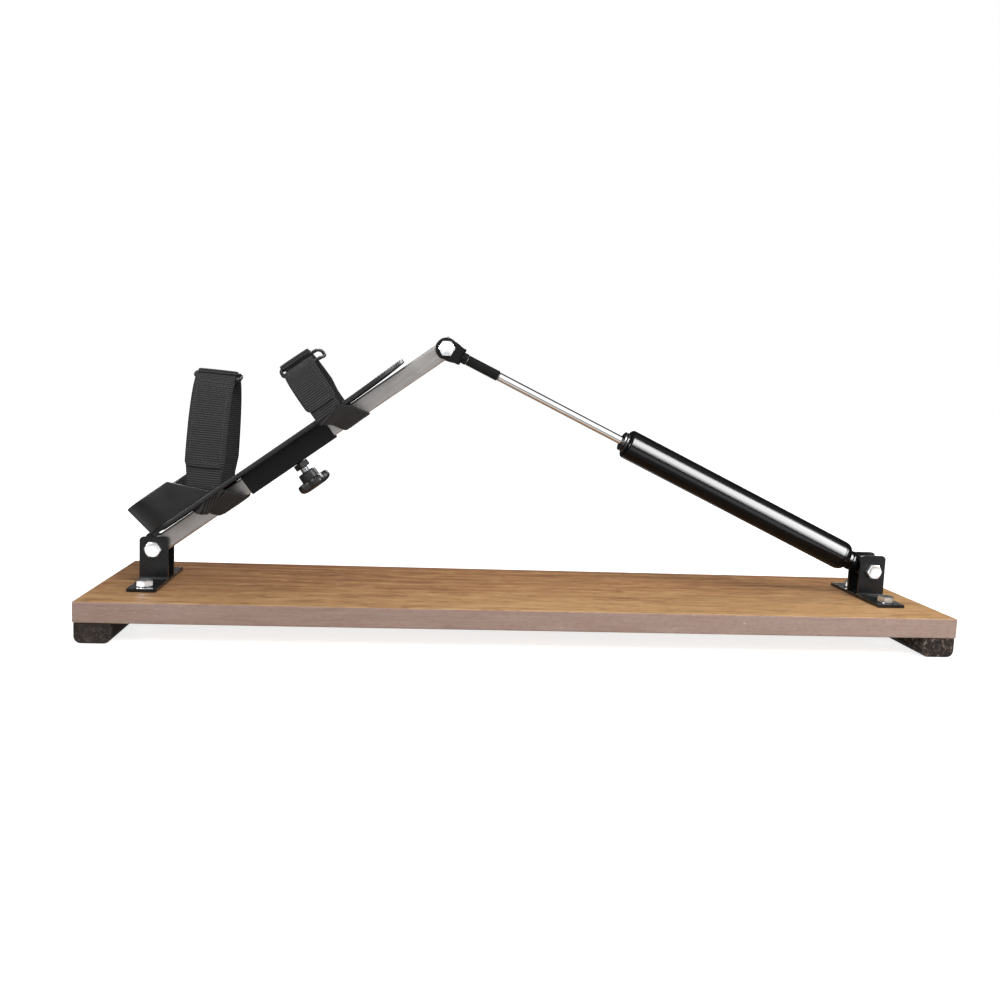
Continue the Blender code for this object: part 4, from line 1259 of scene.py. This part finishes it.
def ribbon(strap, path):
    """The webbing's mesh: rounded selvedges, a shallow seam line and soft wrinkles."""
    rings, uvs = [], []
    line = [entry[0] for entry in path]
    lengths = distances(line)
    for index, (point, width, layer) in enumerate(path):
        along = heading(line, index)
        width = square_to(width, along)
        out = width.cross(along)
        distance = lengths[index]
        half = half_width(strap, point, layer, min(distance, lengths[-1] - distance))
        points, mapped = [], []
        for side in (1, -1):
            for k in range(COLUMNS + 1):
                x = side * (1 - 2 * k / COLUMNS)
                thick = WEB / 2 * (1 - 0.75 * max(0, abs(x) - 0.96) / 0.04)
                seam = math.exp(-((abs(x) - SEAM) / 0.035) ** 2) * 0.14 * MM
                spot = x * half
                wrinkle = crease(strap, point, spot, distance, layer)
                points.append(point + width * spot + out * (side * (thick - seam) + wrinkle))
                mapped.append((distance, spot))
        rings.append(points)
        uvs.append(mapped)
    return skinned(rings, uvs=uvs)


def half_width(strap, point, layer, left):
    """Half the webbing's width: its ends are rounded, and it draws in under the plate."""
    half = strap["width"] / 2
    if layer == 1:
        half *= 1 - 0.13 * held((ARCH_START + 14 * MM - point.z) / (12 * MM))
    if left < STRAP_CORNER:
        half -= STRAP_CORNER - math.sqrt(max(STRAP_CORNER ** 2 - (STRAP_CORNER - left) ** 2, 0))
    return max(half, 2 * MM)


def crease(strap, point, spot, distance, layer):
    soft = noise.noise(Vector((distance * 60, spot * 45, strap["seed"])))
    fine = noise.noise(Vector((distance * 190, spot * 60, strap["seed"] + 7)))
    amount = 0.25 * MM * soft
    if layer == 1 and point.z < 36 * MM:
        amount += (0.55 * soft + 0.3 * fine) * MM
    return amount


def stitch(shape, start, end, out):
    """One thread stitch: a short bead that dips into the cloth at both ends."""
    along = end - start
    across = along.cross(out).normalized()
    rings = []
    for i in range(6):
        share = i / 5
        lift = math.sin(math.pi * share)
        thick = STITCH_RADIUS * (0.45 + 0.55 * lift)
        centre = start + along * share + out * (STITCH_RADIUS * (0.9 * lift - 0.3))
        rings.append([
            centre + across * thick * cos + out * thick * sin for cos, sin in full_turn(6)])
    loft(shape, rings)


def stitching(strap, path):
    """Two seams along the folded layer, and cross seams below the ring and at its end."""
    outer = [entry for entry in path if entry[2] == 2]
    lengths = distances([entry[0] for entry in outer])
    total = lengths[-1]
    shape = bmesh.new()

    def at(distance, across):
        """A point of the layer's surface and the outward direction there."""
        distance = min(max(distance, 0), total - 1e-6)
        index = max(i for i, value in enumerate(lengths[:-1]) if value <= distance)
        share = (distance - lengths[index]) / (lengths[index + 1] - lengths[index])
        here, following = outer[index][0], outer[index + 1][0]
        along = (following - here).normalized()
        width = square_to(outer[index][1], along)
        point = here.lerp(following, share)
        out = outward(width.cross(along), point)
        return point + width * across + out * (WEB / 2 - 0.1 * MM), out

    def sew(start, end):
        spot, out = at(*start)
        stitch(shape, spot, at(*end)[0], out)

    reach = STITCH_PITCH * STITCH_SHARE
    for share in (-SEAM, SEAM):
        across = share * strap["width"] / 2
        for i in range(int((total - 8 * MM) / STITCH_PITCH)):
            start = 4 * MM + i * STITCH_PITCH
            sew((start, across), (start + reach, across))
    for row in (9 * MM, 13 * MM, total - 4 * MM):
        for i in range(int(strap["width"] * 0.74 / STITCH_PITCH)):
            start = -strap["width"] * 0.37 + i * STITCH_PITCH
            sew((row, start), (row, start + reach))
    return shape


def ring_wire(strap, back, front):
    """The wire ring lying across the strap, its two bars inside the folds."""
    width = front[1]
    span = back[0] - front[0]
    across = span.normalized()
    out = width.cross(across).normalized()
    down = -out if out.z > 0 else out
    heel_side, toe_side = 1.5 * MM, strap["past"]
    half_width = (strap["width"] + heel_side + toe_side) / 2
    half_across = span.length / 2
    centre = (front[0] + back[0]) / 2 + width * (toe_side - heel_side) / 2
    points = []
    for x, y in rounded_box(half_width, half_across, min(half_across, 4 * MM), 8):
        beyond = max(0.0, x - (half_width - toe_side))
        points.append(centre + width * x + across * y + down * beyond * strap["droop"])
    rings = []
    for index, point in enumerate(points):
        along = (points[(index + 1) % len(points)] - points[index - 1]).normalized()
        side = along.cross(out)
        rings.append([point + (side * cos + out * sin) * WIRE for cos, sin in full_turn(20)])
    return skinned(rings, wrap=True)


def strap(name, **settings):
    """One strap: where its outer layer ends, and how its wire ring lies on the crown."""
    measures = {**strap_measures(f"{name}_strap"), **settings}
    path, back, front = strap_path(measures)
    shape = ribbon(measures, path)
    piece(f"{name}_webbing", shape, ARM, WEBBING, "foot_carriage", f"{name}_strap", 80)
    piece(f"{name}_stitches", stitching(measures, path), ARM, THREAD, "foot_carriage")
    shape = ring_wire(measures, back, front)
    piece(f"{name}_wire_ring", shape, ARM, SATIN, "foot_carriage", f"{name}_ring")


# Stage, light and camera

CAMERA_PLACE = Vector((-0.115, -0.914, 0.222))
CAMERA_TURNS = (("Z", -5.68), ("X", -6.43), ("Y", -2.42))
LENS = 35.53
SENSOR = 36
FLOOR_REACH = 20
FLOOR_SINK = 0.5 * MM
SKY_LIGHT = 0.5
CEILING_WAY = (0.1, -0.80, 0.60)
BARREL_PARTS = ("barrel", "eye_plug", "eye_lug", "gland")
BRIGHT_HEADS = ("arm_pivot_hex_bolt", "tip_pivot_hex_bolt", "damper_pivot_hex_bolt")
BLACK_PARTS = (
    "bracket_heel_end", "bracket_damper_end", "bent_fork", "lobed_knob", "heel_band", "sole_plate",
    "slide_sleeve", "ankle_wire_ring", "toe_wire_ring")


def area_light(name, place, size, power):
    """A soft panel that the camera doesn't see."""
    data = bpy.data.lights.new(name, "AREA")
    data.shape = "RECTANGLE"
    data.size, data.size_y = size
    data.energy = power
    made = in_scene(name, data, place)
    made.visible_camera = False
    return made


def aimed(aim, bearing, height, distance):
    """A place that faces a point, at a bearing from the front (to the right) and an elevation."""
    flat = math.cos(math.radians(height))
    away = Vector((
        flat * math.sin(math.radians(bearing)), -flat * math.cos(math.radians(bearing)),
        math.sin(math.radians(height))))
    place = (-away).to_track_quat("-Z", "Y").to_euler().to_matrix().to_4x4()
    place.translation = Vector(aim) + away * distance
    return place


def shine(name, place, size, power, only=()):
    """A panel that shows only as a highlight, on all glossy surfaces or on the named pieces."""
    made = area_light(name, place, size, power)
    made.visible_diffuse = False
    if only:
        chosen = bpy.data.collections.new(name)
        for piece_name in only:
            chosen.objects.link(bpy.data.objects[piece_name])
        made.light_linking.receiver_collection = chosen


def damper_shine(name, spot, low, high, width, radiance, only):
    """A panel that a round damper piece mirrors between two angles round it; 0 is the front."""
    reach = 2.5
    down = -DAMPER_AXIS
    along = (spot - CAMERA_PLACE).normalized().dot(down)
    turn = math.radians((low + high) / 2)
    round_it = TIP.col[0].xyz * math.sin(turn) - BACK * math.cos(turn)
    away = (down * along + round_it * math.sqrt(1 - along ** 2)).normalized()
    height = 2 * reach * math.tan(math.radians(high - low) / 2)
    place = axes(spot + away * reach, square_to(down, away), away)
    shine(name, place, (width, height), 4 * width * height * radiance, only)


def glow(name, place, size, power):
    """A panel that lights surfaces without showing in their reflections."""
    area_light(name, place, size, power).visible_glossy = False


def floor():
    """White floor that stays bright in front of the camera and out of the reflections."""
    paint = Paint("pale_floor", 0.9, specular=0.0)
    paint.colour((0.60, 0.60, 0.60), (paint.noise(PLAIN, 2.0, 2.0), None, (0.62, 0.62, 0.62)))
    seen = paint.add("ShaderNodeLightPath").outputs["Is Camera Ray"]
    paint.set("Emission Color", PLAIN)
    paint.set("Emission Strength", paint.calc("MULTIPLY", seen, 0.80))
    mesh = bpy.data.meshes.new("floor")
    corners = ((-1, -1), (1, -1), (1, 1), (-1, 1))
    mesh.from_pydata([(x * FLOOR_REACH, y * FLOOR_REACH, 0) for x, y in corners], [], [range(4)])
    mesh.materials.append(paint.material)
    made = in_scene("floor", mesh, Matrix.Translation((0, 0, -FLOOR_SINK)))
    made.visible_glossy = False
    made.visible_shadow = False


def surroundings():
    """White behind the object, soft light on it, and mostly dark reflections with a pale ceiling."""
    world = bpy.data.worlds.new("studio")
    world.use_nodes = True
    graph = Graph(world.node_tree)
    graph.tree.nodes.clear()
    ray = graph.add("ShaderNodeLightPath").outputs
    where = graph.add("ShaderNodeTexCoord").outputs["Generated"]
    upward = graph.add("ShaderNodeVectorMath", {0: where, 1: CEILING_WAY}, operation="DOT_PRODUCT")
    ceiling = graph.steps(upward.outputs["Value"], 0.25, 0.50, 0.06, 0.70)
    height = graph.add("ShaderNodeSeparateXYZ", {0: where}).outputs["Z"]
    ground = graph.steps(height, -0.52, -0.42, 0.7, 0.0)
    mirrored = graph.calc("ADD", ceiling, ground)
    lit = graph.add("ShaderNodeMix", {0: ray["Is Glossy Ray"], 2: SKY_LIGHT, 3: mirrored})
    seen = graph.add("ShaderNodeMix", {0: ray["Is Camera Ray"], 2: lit.outputs[0], 3: 1.0})
    background = graph.add("ShaderNodeBackground", {"Color": PLAIN, "Strength": seen.outputs[0]})
    graph.add("ShaderNodeOutputWorld", {"Surface": background.outputs[0]})
    bpy.context.scene.world = world


def studio():
    floor()
    surroundings()
    board, tip, eye = (0, 0, 0.08), TIP.translation, EYE.translation
    glow("key", aimed(board, 38, 42, 1.9), (0.9, 0.9), 24)
    glow("fill", aimed(board, -35, 22, 2.0), (1.2, 1.0), 6)
    glow("top", aimed(board, 160, 62, 1.8), (1.4, 1.0), 8)
    on_barrel = (tip * 2 + eye * 3) / 5
    for name, low, high in (("wide", 8, 65), ("middle", 16, 60), ("core", 25, 54)):
        damper_shine(f"{name}_barrel_panel", on_barrel, low, high, 1.8, 20, BARREL_PARTS)
    damper_shine("low_barrel_panel", on_barrel, -30, -8, 1.8, 2.5, BARREL_PARTS)
    damper_shine("rod_panel", (tip * 3 + eye) / 4, -10, 76, 1.6, 0.6, ("piston_rod",))
    shine("right_panel", aimed((0.1, 0, 0.1), 62, 30, 2.2), (0.7, 0.7), 30)
    shine("left_panel", aimed((-0.33, 0, 0.06), -52, 24, 2.2), (0.5, 0.9), 60)
    shine("overhead_panel", aimed((0, 0, 0.06), 30, 74, 2.2), (2.4, 0.5), 110, BLACK_PARTS)
    shine("low_panel", aimed((0, 0, 0.1), 2, -6, 2.2), (3.2, 0.9), 14, BRIGHT_HEADS)
    shine("back_panel", aimed((0, 0, 0.06), 172, 34, 2.6), (2.6, 0.35), 60, BLACK_PARTS)
    bpy.context.scene.view_settings.view_transform = "Standard"


def camera():
    """The photo's viewpoint: slightly left of the middle, a little above the arm's tip."""
    data = bpy.data.cameras.new("camera")
    data.sensor_width = SENSOR
    data.lens = LENS
    place = Matrix.Translation(CAMERA_PLACE)
    for axis, degrees in (*CAMERA_TURNS, ("X", 90)):
        place = place @ Matrix.Rotation(math.radians(degrees), 4, axis)
    bpy.context.scene.camera = in_scene("camera", data, place)


kept_pieces()
for place_name, degrees in (("heel_front", 12), ("heel_back", 40), ("damper_front", 22),
                            ("damper_back", 51)):
    flange_fasteners(place_name, degrees)
    cleat_screw(place_name)
pivot_fasteners()
arm_spacers()
foot_plate()
heel_cup()
weld_beads()
clamp()
knob()
strap(
    "ankle", seed=3, end_v=33 * MM, near_bar=(-12 * MM, -3.5 * MM), far_bar=-4 * MM, past=4 * MM,
    droop=-0.2)
strap(
    "toe", seed=11, end_v=20 * MM, near_bar=(-15 * MM, -8 * MM), far_bar=-7 * MM, past=9.5 * MM,
    droop=0.7)
fork()
rod_pieces()
barrel()
gland()
eye_end()
studio()
camera()
